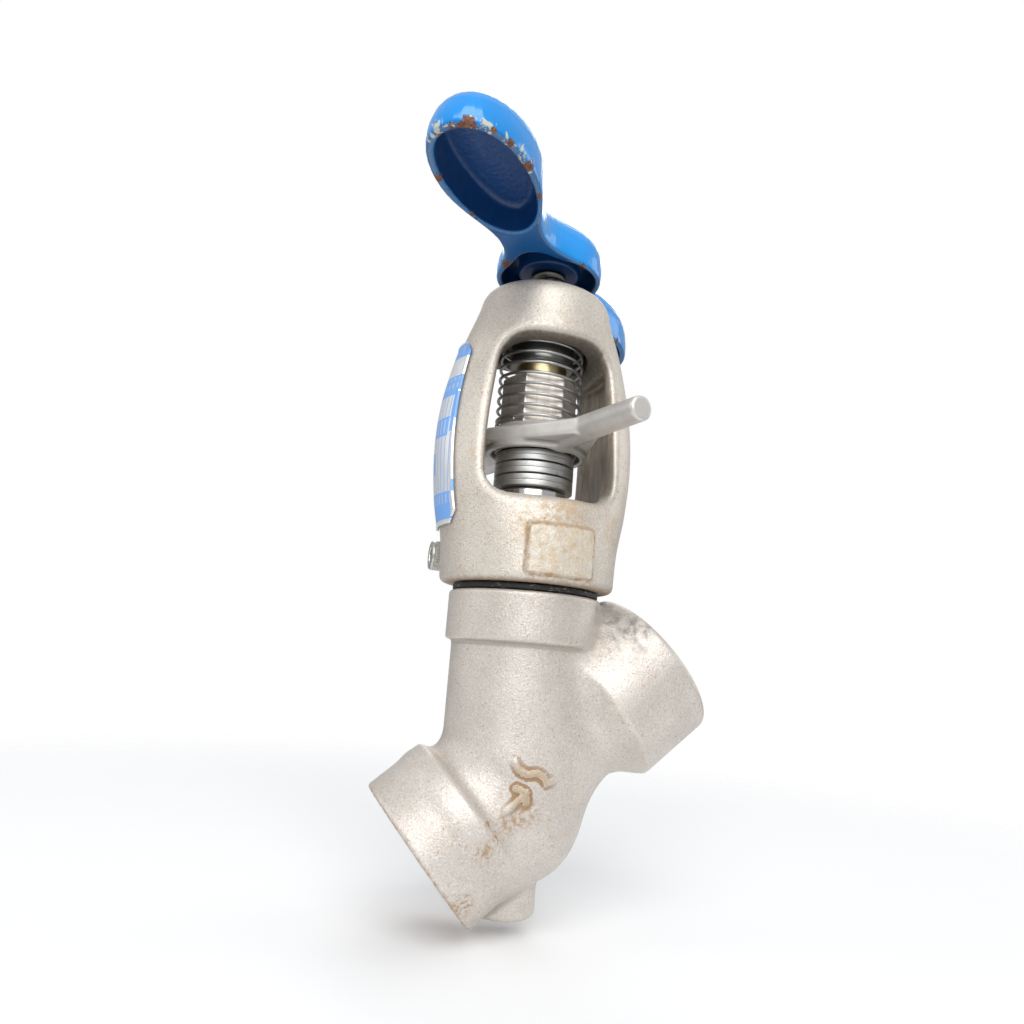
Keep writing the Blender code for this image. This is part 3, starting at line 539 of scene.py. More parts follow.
def handle_shape(p):
    """The handle in its own frame, one lobe along +X."""
    x, y, z = p.T
    plan = polygon(x, y, HANDLE_PLAN)
    crown = HANDLE_HIGH - 2.2 * (1 - ease(24.0, 42.0, np.abs(x)))
    top = z - crown + 0.0035 * np.maximum(np.abs(x) - 40.0, 0.0) ** 2
    flare = 0.35 * np.clip((HANDLE_LOW + 3.0 - z) / 3.0, 0.0, 1.0) ** 2
    solid = smooth_max(plan + flare, top, 13.0)
    solid = smooth_max(solid, HANDLE_LOW - z, 1.0)
    stem = np.hypot(x, y)
    draft = 0.10 * np.maximum(z - HANDLE_LOW, 0.0)
    ceiling = z - (LOBE_CEILING - 0.0035 * (np.abs(x) - 56.0) ** 2)
    cup = smooth_max(polygon(np.abs(x), y, CUP_PLAN) + draft, ceiling, 1.6)
    solid = smooth_max(solid, -cup, 1.1)
    throat = np.hypot(np.maximum(np.abs(x) - 14.5, 0.0), y) - 5.2
    hub_cup = smooth_max(smooth_min(stem - 15.6, throat, 5.0) + draft, z - HUB_CEILING, 6.0)
    boss = smooth_max(stem - 10.0 - 0.4 * draft, 160.0 - z, 1.2)
    hollow = smooth_max(hub_cup, -boss, 2.0)
    solid = smooth_max(solid, -hollow, 1.1)
    solid = cut_away(solid, drum(stem, z, POCKET_RADIUS, POCKET_FLOOR, HANDLE_HIGH + 9.0, 0.1), 0.9)
    return cut_away(solid, drum(stem, z, 5.1, 150.0, 190.0, 0.1), 0.5)


def wrench_shape(p):
    """The gland wrench in the valve's frame."""
    x, y, z = p.T
    stem = np.hypot(x, y)
    side = x * math.cos(ARM_TURN) + y * math.sin(ARM_TURN)
    along = x * math.sin(ARM_TURN) - y * math.cos(ARM_TURN)
    low, high = WRENCH_LOW + 1.0, WRENCH_HIGH - 1.0
    ring = turned_shape(stem, z, [(0.0, low), (15.2, low), (15.2, high - 3.2), (12.4, high),
                                  (0.0, high)], 1.0)
    rise = z - ARM_Z
    length = np.abs(along)
    radius = 4.1 - 0.6 * np.clip((length - 15.0) / 37.0, 0.0, 1.0)
    rod = smooth_max(np.hypot(side, rise) - radius, length - ARM_REACH, 1.0)
    taper = (np.abs(side) - 4.2 - 0.5 * (ARM_SHOULDER - length)) / 1.118
    root = smooth_max(smooth_max(taper, np.abs(rise + 0.1) - 2.5, 1.3), length - ARM_SHOULDER, 0.9)
    solid = smooth_min(smooth_min(ring, rod, 2.5), root, 0.9)
    recess = drum(stem, z, 14.1, WRENCH_LOW - 5.0, NUT_LOW - 0.2, 0.2)
    solid = cut_away(solid, recess, 0.7)
    hole = np.maximum(hexagon(x, y, 21.7, NUT_TURN), np.abs(z - 102.0) - 9.0)
    return cut_away(solid, hole, 0.7)


def nut_shape(flats, turn, bore, low, high, crown):
    """A hexagon nut with rounded-off corners at its ends."""
    middle, half, slope = (low + high) / 2, (high - low) / 2, 1.7

    def shape(p):
        x, y, z = p.T
        stem, end = np.hypot(x, y), np.abs(z - middle) - half
        sides = smooth_max(hexagon(x, y, flats, turn), end, 0.4)
        cone = (stem - flats / 2 - crown + end * slope) / math.hypot(1.0, slope)
        return cut_away(smooth_max(sides, cone, 0.5), stem - bore, 0.5)
    return shape


def bushing_profile():
    """The stem nut: slim inside the gland nut's reach, wider where the yoke holds it."""
    low, high = heights("yoke_bushing")
    step = NUT_HIGH + 0.3
    profile = [(STEM_BORE, low), (8.3, low), (8.3, step), (8.0, step), (8.0, BUSHING_STEP),
               (BUSHING_RADIUS, BUSHING_STEP), (BUSHING_RADIUS, high), (STEM_BORE, high)]
    return rounded(profile, 0.4, 3)


def disc_spring_profile(node, rising):
    """A coned washer's section with rounded corners."""
    low, high = heights(node)
    profile = [(STEM_BORE, low), (12.5, high - SPRING_THICK), (12.5, high),
               (STEM_BORE, low + SPRING_THICK)]
    if not rising:
        profile = [(radius, low + high - z) for radius, z in profile][::-1]
    return rounded(profile, 0.12, 3)


def ring_profile(node, inner, edge, steps=4):
    """A flat ring's section, with the node's outer radius and heights."""
    low, high = heights(node)
    outer = outer_radius(node)
    return rounded([(inner, low), (outer, low), (outer, high), (inner, high)], edge, steps)


def gland_profile():
    low, high = heights("gland")
    outer, bevel = outer_radius("gland"), 0.6
    profile = [(STEM_BORE, low), (outer, low), (outer, high - bevel), (outer - bevel, high),
               (STEM_BORE, high)]
    return rounded(profile, 0.2, 3)


def thread(radius, pitch, depth, low, high):
    """How a right-hand thread between two heights changes a turned radius."""
    def wave(angle, height, here):
        if here < radius - 1e-6 or not low < height < high:
            return 0.0
        phase = (height / pitch - angle / TAU) % 1.0
        fade = min(1.0, (height - low) / pitch, (high - height) / pitch)
        return -depth * fade * (1 - abs(2 * phase - 1))
    return wave


def threaded_rows(radius, low, high, step):
    count = int((high - low) / step)
    return [(radius, low + (high - low) * k / count) for k in range(count + 1)]


def stem_mesh():
    """The stem with its trapezoidal thread, and the spigot's finer one for the handle's nut."""
    low, high = heights("stem")
    shoulder, spigot = HANDLE_LOW + 1.8, POCKET_FLOOR + 0.1
    profile = [(0.0, low), (6.8, low), (7.2, low + 0.4), (7.2, low + 3.0), (STEM_RADIUS, low + 3.0),
               (STEM_RADIUS, STEM_THREAD_LOW)]
    profile += threaded_rows(STEM_RADIUS, STEM_THREAD_LOW + 0.4, shoulder - 0.6, 0.21)
    profile += [(STEM_RADIUS - 0.5, shoulder), (4.8, shoulder), (4.8, spigot), (4.0, spigot)]
    profile += threaded_rows(4.0, spigot + 0.3, high - 0.7, 0.16)
    profile += [(3.3, high - 0.1), (0.0, high)]

    def wave(angle, height, here):
        if height < spigot:
            return thread(STEM_RADIUS, 2.5, 1.2, STEM_THREAD_LOW, shoulder)(angle, height, here)
        return thread(4.0, 1.25, 0.6, spigot, high - 0.3)(angle, height, here)
    return turned_mesh("stem", profile, 96, closed=False, wave=wave)


def tube_faces(rows, sides):
    """Faces of a tube made of rows of points, closed at both ends."""
    faces = []
    for row in range(rows - 1):
        here, above = row * sides, (row + 1) * sides
        for k in range(sides):
            after = (k + 1) % sides
            faces.append((here + k, here + after, above + after, above + k))
    return faces + [tuple(range(sides))[::-1], tuple(range((rows - 1) * sides, rows * sides))]


def tube_along(name, points, radius, sides=16):
    """A round wire through a list of points, with rounded ends."""
    points = np.array(points, float)
    ahead = np.gradient(points, axis=0)
    ahead /= np.linalg.norm(ahead, axis=1)[:, None]
    up = np.array((0.0, 0.0, 1.0))
    out = np.cross(ahead, up)
    out /= np.linalg.norm(out, axis=1)[:, None]
    top = np.cross(out, ahead)
    turns = (np.arange(sides) * TAU / sides)[None, :, None]
    around = np.cos(turns) * out[:, None, :] + np.sin(turns) * top[:, None, :]
    first, last = ((0.5, 0.87), (0.87, 0.5)), ((0.87, 0.5), (0.5, 0.87))
    rings = [points[0] + around[0] * radius * s - ahead[0] * radius * c for s, c in first]
    rings += list(points[:, None, :] + around * radius)
    rings += [points[-1] + around[-1] * radius * s + ahead[-1] * radius * c for s, c in last]
    return join_meshes(name, [(np.concatenate(rings), tube_faces(len(rings), sides))])


def spring_points(steps=64):
    """The middle line of the return spring: left-hand, with closed ends."""
    end_rise = 1.1
    middle = (COIL_HIGH - COIL_LOW - 2 * end_rise) / (COIL_TURNS - 2)
    points = []
    for k in range(int(COIL_TURNS * steps) + 1):
        turns = k / steps
        z = COIL_LOW + end_rise * min(turns, 1.0)
        z += middle * min(max(turns - 1, 0.0), COIL_TURNS - 2)
        z += end_rise * max(turns - COIL_TURNS + 1, 0.0)
        angle = COIL_START - TAU * turns
        points.append((COIL_RADIUS * math.cos(angle), COIL_RADIUS * math.sin(angle), z))
    return points


def join_meshes(name, parts):
    """One mesh from several lists of points (in millimetres) and faces."""
    points, faces = [], []
    for part_points, part_faces in parts:
        start = len(points)
        points += [tuple(point) for point in part_points]
        faces += [tuple(start + k for k in face) for face in part_faces]
    mesh = bpy.data.meshes.new(name)
    mesh.from_pydata([(x * MM, y * MM, z * MM) for x, y, z in points], [], faces)
    return mesh


def needle(angle, z, radius, inner, outer, sides=16):
    """One needle roller lying outwards from the stem's axis."""
    out = np.array((math.cos(angle), math.sin(angle), 0.0))
    aside = np.array((-math.sin(angle), math.cos(angle), 0.0))
    up = np.array((0.0, 0.0, 1.0))
    rows = [(inner, 0.75), (inner + 0.15, 1.0), (outer - 0.15, 1.0), (outer, 0.75)]
    points = [out * r + (aside * math.cos(t) + up * math.sin(t)) * radius * s + up * z
              for r, s in rows for t in np.arange(sides) * TAU / sides]
    return points, tube_faces(len(rows), sides)


def cage_shape(p):
    """The thrust bearing's cage: a folded ring with windows for its needles."""
    x, y, z = p.T
    stem = np.hypot(x, y)
    ring = drum(stem, z, CAGE_RADIUS, CAGE_LOW + 0.1, CAGE_HIGH - 0.1, 0.25)
    angle = np.arctan2(y, x) * NEEDLES / TAU
    offset = (angle - np.round(angle)) * TAU / NEEDLES * stem
    window = np.maximum(np.abs(offset) - 0.62, np.abs(stem - 11.2) - 2.75)
    return cut_away(cut_away(ring, stem - 8.0, 0.2), window, 0.25)


def clamp_screw_shape(p):
    """A socket head cap screw that lies along +X."""
    x, y, z = p.T
    radial = np.hypot(y - SCREW_Y, z - SCREW_Z)
    head_low, head_high = SCREW_LOW.x, -LUG_REACH - 0.3
    grooves = 0.09 * np.cos(np.arctan2(y - SCREW_Y, z - SCREW_Z) * 36) * (x > head_low + 1.2)
    head = drum(radial + grooves, x, 4.85, head_low, head_high, 0.55)
    phase = (x - np.arctan2(z - SCREW_Z, y - SCREW_Y) / TAU) % 1.0
    groove = 0.5 * (1 - np.abs(2 * phase - 1)) * (x > -8.0)
    shank = drum(radial + groove, x, 3.0, head_high - 1.0, 16.6, 0.4)
    socket = np.maximum(hexagon(y - SCREW_Y, z - SCREW_Z, 5.0, 0.3), x - head_low - 3.0)
    return cut_away(np.minimum(head, shank), socket, 0.35)


# ---------------------------------------------------------------- materials

class Paint:
    """A node material. Sizes are in millimetres, and patterns sit in the piece's own space."""

    def __init__(self, name, colour, roughness, metallic):
        self.material = bpy.data.materials.new(name)
        self.material.use_nodes = True
        self.tree = self.material.node_tree
        self.shader = self.tree.nodes["Principled BSDF"]
        self.place = self.tree.nodes.new("ShaderNodeTexCoord").outputs["Object"]
        self.colour = (*colour, 1.0)
        self.roughness = roughness
        self.metallic = metallic
        self.normal = None

    def node(self, kind, **settings):
        made = self.tree.nodes.new("ShaderNode" + kind)
        for key, value in settings.items():
            setattr(made, key, value)
        return made

    def feed(self, socket, value):
        if isinstance(value, bpy.types.NodeSocket):
            self.tree.links.new(value, socket)
        else:
            socket.default_value = value

    def maths(self, operation, a, b=0.0):
        made = self.node("Math", operation=operation)
        self.feed(made.inputs[0], a)
        self.feed(made.inputs[1], b)
        return made.outputs[0]

    def times(self, *factors):
        product = factors[0]
        for factor in factors[1:]:
            product = self.maths("MULTIPLY", product, factor)
        return product

    def plus(self, a, b):
        return self.maths("ADD", a, b)

    def minus(self, a, b):
        return self.maths("SUBTRACT", a, b)

    def larger(self, a, b):
        return self.maths("MAXIMUM", a, b)

    def below(self, value, limit):
        """1 where the value is below the limit, 0 elsewhere."""
        return self.maths("LESS_THAN", value, limit)

    def off(self, value, middle=0.0):
        """How far a value is from a middle, to either side."""
        return self.maths("ABSOLUTE", self.minus(value, middle) if middle else value)

    def noise(self, size, detail=3.0, roughness=0.5, stretch=(1.0, 1.0, 1.0), warp=0.0, seed=0.0):
        """Noise with features of a size; stretch lengthens them along an axis."""
        mapping = self.node("Mapping")
        self.feed(mapping.inputs["Vector"], self.place)
        mapping.inputs["Location"].default_value = (seed, seed * 0.7, seed * 1.3)
        mapping.inputs["Scale"].default_value = tuple(1.0 / (size * MM * s) for s in stretch)
        made = self.node("TexNoise")
        self.feed(made.inputs["Vector"], mapping.outputs[0])
        made.inputs["Scale"].default_value = 1.0
        made.inputs["Detail"].default_value = detail
        made.inputs["Roughness"].default_value = roughness
        made.inputs["Distortion"].default_value = warp
        return made.outputs["Fac"]

    def between(self, value, low, high):
        """0 below low, 1 above high, smooth between."""
        made = self.node("MapRange", interpolation_type="SMOOTHSTEP")
        self.feed(made.inputs["Value"], value)
        made.inputs["From Min"].default_value = low
        made.inputs["From Max"].default_value = high
        return made.outputs["Result"]

    def span(self, value, low, high):
        """Stretch a 0 to 1 value over another range."""
        made = self.node("MapRange")
        self.feed(made.inputs["Value"], value)
        made.inputs["To Min"].default_value = low
        made.inputs["To Max"].default_value = high
        return made.outputs["Result"]

    def blend(self, share, first, second):
        made = self.node("Mix", data_type="RGBA")
        self.feed(made.inputs[0], share)
        for socket, value in ((made.inputs[6], first), (made.inputs[7], second)):
            plain = isinstance(value, tuple) and len(value) == 3
            self.feed(socket, (*value, 1.0) if plain else value)
        return made.outputs[2]

    def near(self, centre, inner, outer, ragged=0.0, size=4.0):
        """1 near a point and 0 beyond, with a ragged edge."""
        made = self.node("VectorMath", operation="DISTANCE")
        self.feed(made.inputs[0], self.place)
        made.inputs[1].default_value = tuple(c * MM for c in centre)
        gap = made.outputs["Value"]
        if ragged:
            push = self.minus(self.noise(size, 4.0, 0.6), 0.5)
            gap = self.plus(gap, self.times(push, 2 * ragged * MM))
        return self.minus(1.0, self.between(gap, inner * MM, outer * MM))

    def axis(self, name):
        """A coordinate in millimetres."""
        split = self.node("SeparateXYZ")
        self.feed(split.inputs[0], self.place)
        return self.times(split.outputs[name], 1.0 / MM)

    def distance_out(self):
        """Distance from the Z axis, in millimetres."""
        flat = self.node("VectorMath", operation="MULTIPLY")
        length = self.node("VectorMath", operation="LENGTH")
        self.feed(flat.inputs[0], self.place)
        flat.inputs[1].default_value = (1.0 / MM, 1.0 / MM, 0.0)
        self.feed(length.inputs[0], flat.outputs[0])
        return length.outputs["Value"]

    def patches(self, low, high, size, *noise, **more):
        """Noise cut to patches: 0 where it is below low, 1 above high."""
        return self.between(self.noise(size, *noise, **more), low, high)

    def ridges(self, low, high):
        """1 where the surface bends out, as on an edge."""
        return self.between(self.stored("bend"), low, high)

    def hollows(self, low, high):
        """1 where the surface bends in, as at the foot of a wall."""
        return self.between(self.times(self.stored("bend"), -1.0), low, high)

    def stored(self, name):
        """A value stored on the mesh's points."""
        return self.node("Attribute", attribute_name=name).outputs["Fac"]

    def cover(self, share, colour, roughness=None, metallic=None):
        """Lay something over the surface where share is 1."""
        self.colour = self.blend(share, self.colour, colour)
        if roughness is not None:
            self.roughness = self.mix_number(share, self.roughness, roughness)
        if metallic is not None:
            self.metallic = self.mix_number(share, self.metallic, metallic)

    def mix_number(self, share, first, second):
        made = self.node("Mix", data_type="FLOAT")
        self.feed(made.inputs[0], share)
        self.feed(made.inputs[2], first)
        self.feed(made.inputs[3], second)
        return made.outputs[0]

    def bump(self, height, strength, depth):
        """Add relief: depth is in millimetres."""
        made = self.node("Bump")
        made.inputs["Strength"].default_value = strength
        made.inputs["Distance"].default_value = depth * MM
        self.feed(made.inputs["Height"], height)
        if self.normal is not None:
            self.feed(made.inputs["Normal"], self.normal)
        self.normal = made.outputs["Normal"]

    def done(self, **constants):
        self.feed(self.shader.inputs["Base Color"], self.colour)
        self.feed(self.shader.inputs["Roughness"], self.roughness)
        self.feed(self.shader.inputs["Metallic"], self.metallic)
        if self.normal is not None:
            self.feed(self.shader.inputs["Normal"], self.normal)
        for key, value in constants.items():
            self.shader.inputs[key.replace("_", " ")].default_value = value
        return self.material


PALE_RUST = (0.50, 0.33, 0.17)
PRIMER = (0.66, 0.66, 0.56)


def forging(name, seed, rustiness, colour=(0.56, 0.515, 0.47)):
    """Blasted steel forging: light warm grey, with a fine grain, rust specks and stains, painted
    shade in its hollows and painted highlights on its edges.
    """
    paint = Paint(name, colour, 0.44, 0.45)
    cloud = paint.patches(0.36, 0.66, 14.0, 4.0, 0.55, seed=seed)
    paint.cover(cloud, tuple(c * 1.12 for c in colour))
    grain = paint.noise(0.52, 2.0, 0.6, seed=seed)
    paint.cover(paint.times(paint.between(grain, 0.46, 0.30), 0.6), (0.38, 0.34, 0.30))
    paint.cover(paint.times(paint.between(grain, 0.54, 0.70), 0.6), (0.78, 0.745, 0.70), 0.34)
    # Painted shade: hollows and creases darkened.
    hollow = paint.hollows(0.05, 0.5)
    paint.cover(paint.times(hollow, 0.5), (0.31, 0.265, 0.22), 0.6, 0.3)
    # Painted highlight: outward edges lightened.
    edge = paint.ridges(0.12, 0.6)
    paint.cover(paint.times(edge, 0.3), (0.68, 0.64, 0.58))
    patches = paint.patches(0.52 - rustiness, 0.74, 11.0, 5.0, 0.62, warp=0.6, seed=seed + 3.0)
    stain = paint.patches(0.48, 0.72, 3.2, 5.0, 0.65, seed=seed + 5.0)
    paint.cover(paint.times(patches, stain, 0.6), PALE_RUST, 0.66, 0.15)
    for size, low, high in ((1.0, 0.635, 0.67), (0.55, 0.665, 0.70)):
        dots = paint.patches(low, high, size, 3.0, 0.55, seed=seed + 9.0)
        where = paint.span(patches, 0.35, 1.0)
        paint.cover(paint.times(dots, where), (0.42, 0.20, 0.08), 0.75, 0.05)
    spread = paint.span(paint.noise(2.4, 3.0, seed=seed), -0.08, 0.08)
    paint.roughness = paint.plus(paint.roughness, spread)
    paint.bump(paint.noise(2.6, 3.0, 0.5, seed=seed), 0.35, 0.25)
    paint.bump(grain, 0.9, 0.15)
    return paint


def stains(paint, places, colour, size, seed):
    """Ragged stains: each place is a centre, a radius and a strength."""
    for centre, radius, strength in places:
        patch = paint.near(centre, radius * 0.2, radius, radius * 0.45, size * 1.5)
        broken = paint.patches(0.42, 0.60, size, 4.0, 0.65, seed=seed)
        share = paint.times(patch, broken, strength)
        paint.cover(share, colour, 0.7, 0.1)


# Stains, as (centre, radius, strength)
BODY_RUST = (((-5.5, -21.5, -8.5), 4.6, 0.8), ((-1.0, -21.0, -6.0), 5.0, 0.7),
             ((-12.0, -22.5, -9.0), 2.6, 0.9), ((-13.0, -22.5, -15.5), 4.2, 1.0),
             ((-9.5, -22.5, -12.5), 3.2, 1.0), ((-17.0, -20.0, -29.0), 5.5, 0.8),
             ((-9.0, -22.0, -1.0), 2.6, 0.8), ((-15.0, -21.0, 4.0), 2.4, 0.6))
BAND_RUST = (((19.0, -19.0, 44.0), 5.0, 0.5), ((18.0, -16.0, 38.0), 4.0, 0.45))
YOKE_RUST = (((2.0, -26.5, 64.5), 12.0, 0.5), ((3.0, -26.0, 76.5), 15.0, 0.6),
             ((-9.0, -26.0, 72.0), 7.0, 0.4), ((20.0, -18.0, 72.0), 8.0, 0.4),
             ((2.0, -21.0, 138.0), 6.0, 0.25))
NUT_RUST = (((9.0, -8.0, 119.0), 6.0, 0.7), ((10.0, -6.0, 112.0), 4.0, 0.6))


def body_material():
    """The body's forging, with painted shade where the band meets the outlet hub and on the band's
    top face by the neck, rust round the flow mark and rusty end faces.
    """
    paint = forging("forging_body", 0.0, 0.03)
    # Painted shade: a dark ragged patch where the band meets the outlet hub.
    by_outlet_hub = paint.near((27.0, -17.0, 47.0), 2.0, 15.0, 9.0, 5.0)
    hub_joint_shade = paint.patches(0.42, 0.66, 4.5, 5.0, 0.62, warp=0.3, seed=21.0)
    paint.cover(paint.times(by_outlet_hub, hub_joint_shade, 0.75), (0.15, 0.14, 0.135), 0.6, 0.3)
    ridge = paint.ridges(0.05, 0.30)
    mark = paint.near((-1.5, -21.5, 1.0), 4.0, 9.5, 1.5, 3.0)
    mottle = paint.span(paint.noise(1.1, 4.0, 0.7, seed=61.0), 0.35, 1.2)
    ridge = paint.times(mark, ridge, mottle)
    paint.cover(paint.times(ridge, 0.95), (0.43, 0.32, 0.19), 0.6, 0.15)
    foot = paint.hollows(0.02, 0.18)
    paint.cover(paint.times(mark, foot, 0.9), (0.30, 0.17, 0.08), 0.75, 0.05)
    stains(paint, BODY_RUST, (0.33, 0.19, 0.08), 1.1, 31.0)
    stains(paint, BAND_RUST, PALE_RUST, 2.0, 33.0)
    along = paint.node("VectorMath", operation="DOT_PRODUCT")
    paint.feed(along.inputs[0], paint.place)
    along.inputs[1].default_value = tuple(PIPE / MM)
    ragged = paint.plus(along.outputs["Value"],
                        paint.span(paint.noise(1.6, 5.0, 0.7, seed=8.0), -2.2, 2.2))
    rim = paint.between(ragged, INLET_END + 1.0, INLET_END - 0.6)
    paint.cover(paint.times(rim, 0.85), (0.33, 0.17, 0.09), 0.7, 0.15)
    far_rim = paint.between(ragged, OUTLET_END - 1.2, OUTLET_END + 0.2)
    paint.cover(paint.times(far_rim, 0.5), (0.44, 0.33, 0.20), 0.65, 0.2)
    # Painted shade: the band's top face by the neck darkened, in the gap under the yoke.
    neck = paint.times(paint.between(paint.axis("Z"), BAND_TOP - 0.2, BAND_TOP + 0.1),
                       paint.between(paint.distance_out(), NECK_RADIUS + 1.6, NECK_RADIUS + 1.0))
    paint.cover(neck, (0.10, 0.095, 0.09), 0.5, 0.4)
    return paint.done()


def yoke_material():
    """The yoke's forging, with a pale rusty pad, streaked and rusty inner faces whose dark tone is
    partly painted shade, and painted shade under the arch.
    """
    paint = forging("forging_yoke", 40.0, 0.10, (0.58, 0.53, 0.465))
    stains(paint, YOKE_RUST, (0.50, 0.32, 0.14), 1.8, 51.0)
    x, height = paint.axis("X"), paint.axis("Z")
    from_x = paint.minus(paint.off(x, PAD_MIDDLE[0]), PAD_HALF[0])
    from_z = paint.minus(paint.off(height, PAD_MIDDLE[1]), PAD_HALF[1])
    outside = paint.larger(from_x, from_z)
    outside = paint.plus(outside, paint.span(paint.noise(1.6, 4.0, 0.7, seed=57.0), -1.3, 1.3))
    front = paint.between(paint.axis("Y"), -19.0, -20.0)
    face = paint.times(paint.between(outside, 0.5, -0.5), front)
    paint.cover(paint.times(face, 0.4), (0.68, 0.62, 0.51), 0.6, 0.15)
    blotch = paint.patches(0.46, 0.66, 2.6, 5.0, 0.7, warp=0.5, seed=56.0)
    paint.cover(paint.times(face, blotch, 0.6), (0.50, 0.36, 0.20), 0.68, 0.1)
    paint.bump(paint.times(paint.noise(1.7, 4.0, 0.6, seed=54.0), face), 0.8, 0.45)
    border = paint.times(paint.between(paint.off(outside), 0.9, 0.3), front)
    broken = paint.patches(0.42, 0.62, 2.2, 4.0, 0.7, seed=58.0)
    paint.cover(paint.times(border, broken, 0.8), (0.40, 0.25, 0.11), 0.7, 0.1)
    low_edge = paint.plus(height, paint.span(paint.noise(1.8, 4.0, 0.7, seed=59.0), -1.5, 1.5))
    low_edge = paint.between(low_edge, YOKE_LOW + 1.3, YOKE_LOW - 0.2)
    paint.cover(paint.times(low_edge, 0.7), (0.34, 0.23, 0.14), 0.65, 0.2)
    # Inner faces: real streaks and rust, with a dark tone that is partly painted shade.
    inner = paint.stored("inside")
    streaks = paint.patches(0.34, 0.68, 1.5, 4.0, 0.6, (1.0, 1.0, 7.0), seed=71.0)
    tone = paint.blend(streaks, (0.25, 0.21, 0.17), (0.42, 0.365, 0.30))
    paint.cover(paint.times(inner, 0.9), tone, 0.5, 0.35)
    rust = paint.patches(0.56, 0.68, 2.0, 5.0, 0.65, (1.0, 1.0, 4.0), seed=75.0)
    paint.cover(paint.times(inner, rust, 0.7), (0.33, 0.17, 0.075), 0.75, 0.1)
    # Painted shade: the upper inner faces and the arch over the window, nearly black.
    arch_shade = paint.times(inner, paint.between(height, WINDOW_HIGH - 9.0, WINDOW_HIGH - 1.0))
    paint.cover(paint.times(arch_shade, 0.7), (0.09, 0.075, 0.06), 0.6, 0.2)
    return paint.done()


def cast_material(name, seed):
    """Satin investment-cast steel, with painted highlights on its edges and painted shade in its
    hollows.
    """
    paint = Paint(name, (0.62, 0.59, 0.555), 0.44, 0.55)
    paint.cover(paint.patches(0.40, 0.68, 6.0, 4.0, 0.6, seed=seed), (0.55, 0.525, 0.49))
    # Painted highlight: outward edges lightened and made smoother.
    paint.cover(paint.times(paint.ridges(0.2, 0.9), 0.6), (0.72, 0.70, 0.67), 0.36)
    # Painted shade: hollows darkened.
    hollow = paint.hollows(0.08, 0.6)
    paint.cover(paint.times(hollow, 0.65), (0.27, 0.245, 0.22), 0.5)
    spots = paint.patches(0.70, 0.75, 1.5, 4.0, 0.6, seed=seed + 4.0)
    paint.cover(paint.times(spots, 0.7), (0.42, 0.24, 0.12), 0.7, 0.1)
    paint.roughness = paint.plus(paint.roughness, paint.span(paint.noise(3.0, 3.0), -0.06, 0.08))
    paint.bump(paint.noise(0.7, 3.0, 0.5, seed=seed), 0.4, 0.06)
    return paint.done()


def nut_material():
    """Ground hexagon with faint vertical stains and painted highlights along its edges."""
    paint = Paint("gland_nut_steel", (0.62, 0.58, 0.53), 0.42, 0.6)
    paint.cover(paint.patches(0.40, 0.66, 3.0, 4.0, 0.6, (0.5, 0.5, 4.0), seed=2.0),
                (0.52, 0.48, 0.42))
    rub = paint.patches(0.45, 0.7, 0.5, 3.0, 0.6, (1.0, 1.0, 0.12), seed=5.0)
    paint.cover(paint.times(rub, 0.3), (0.38, 0.34, 0.29), 0.4)
    stains(paint, NUT_RUST, (0.36, 0.20, 0.12), 1.5, 8.0)
    # Painted highlight: the hexagon's edges lightened.
    paint.cover(paint.times(paint.ridges(0.3, 1.0), 0.35), (0.72, 0.70, 0.66), 0.26)
    paint.bump(rub, 0.2, 0.03)
    return paint.done()


def turned_steel(name, colour, roughness, mark=0.35, seed=0.0, dirt=(0.12, 0.11, 0.10)):
    """Turned or ground steel with marks that run round the stem's axis."""
    paint = Paint(name, colour, roughness, 1.0)
    lines = paint.noise(0.35, 4.0, 0.7, (60.0, 60.0, 0.25), seed=seed)
    paint.cover(paint.times(paint.between(lines, 0.52, 0.36), mark),
                tuple(c * 0.55 for c in colour))
    paint.cover(paint.times(paint.patches(0.58, 0.74, 2.6, 4.0, 0.6, seed=seed), 0.5), dirt, 0.5)
    paint.roughness = paint.plus(paint.roughness, paint.span(lines, -0.05, 0.07))
    paint.bump(lines, 0.15, 0.03)
    return paint.done()


def bronze_material():
    """Turned bronze, tarnished, with the wider collar up in the yoke painted dark grey as painted
    shade.
    """
    paint = Paint("bushing_bronze", (0.56, 0.45, 0.26), 0.3, 1.0)
    lines = paint.noise(0.4, 3.0, 0.6, (50.0, 50.0, 0.3), seed=3.0)
    paint.cover(paint.times(paint.between(lines, 0.55, 0.40), 0.4), (0.34, 0.27, 0.15))
    tarnish = paint.patches(0.48, 0.72, 4.0, 4.0, 0.6, seed=6.0)
    paint.cover(paint.times(tarnish, 0.4), (0.30, 0.25, 0.16), 0.4)
    # Painted shade: the wider collar above the step, up in the yoke, painted dark grey.
    dark = paint.between(paint.axis("Z"), BUSHING_STEP - 0.5, BUSHING_STEP + 0.2)
    paint.cover(dark, (0.26, 0.265, 0.25), 0.3, 0.9)
    paint.bump(lines, 0.2, 0.04)
    return paint.done()


# Bare spots on the handle's lower rim, as (distance along the lobe, sideways, radius)
CHIPS = ((79.0, 3.5, 2.2), (78.5, 0.5, 2.0), (76.8, -3.6, 1.9), (61.5, -12.6, 1.9),
         (43.5, -9.6, 0.9), (41.0, -10.0, 0.8), (75.5, 9.0, 1.1), (70.0, 11.2, 1.3),
         (61.0, 12.6, 1.9), (47.5, 11.4, 1.5), (14.5, -9.0, 2.2), (9.0, 14.2, 1.2),
         (-77.0, 5.0, 1.8), (-64.0, -12.2, 1.6), (-50.0, 12.2, 1.2), (-79.0, -1.5, 1.4),
         (-12.0, 11.5, 1.1))


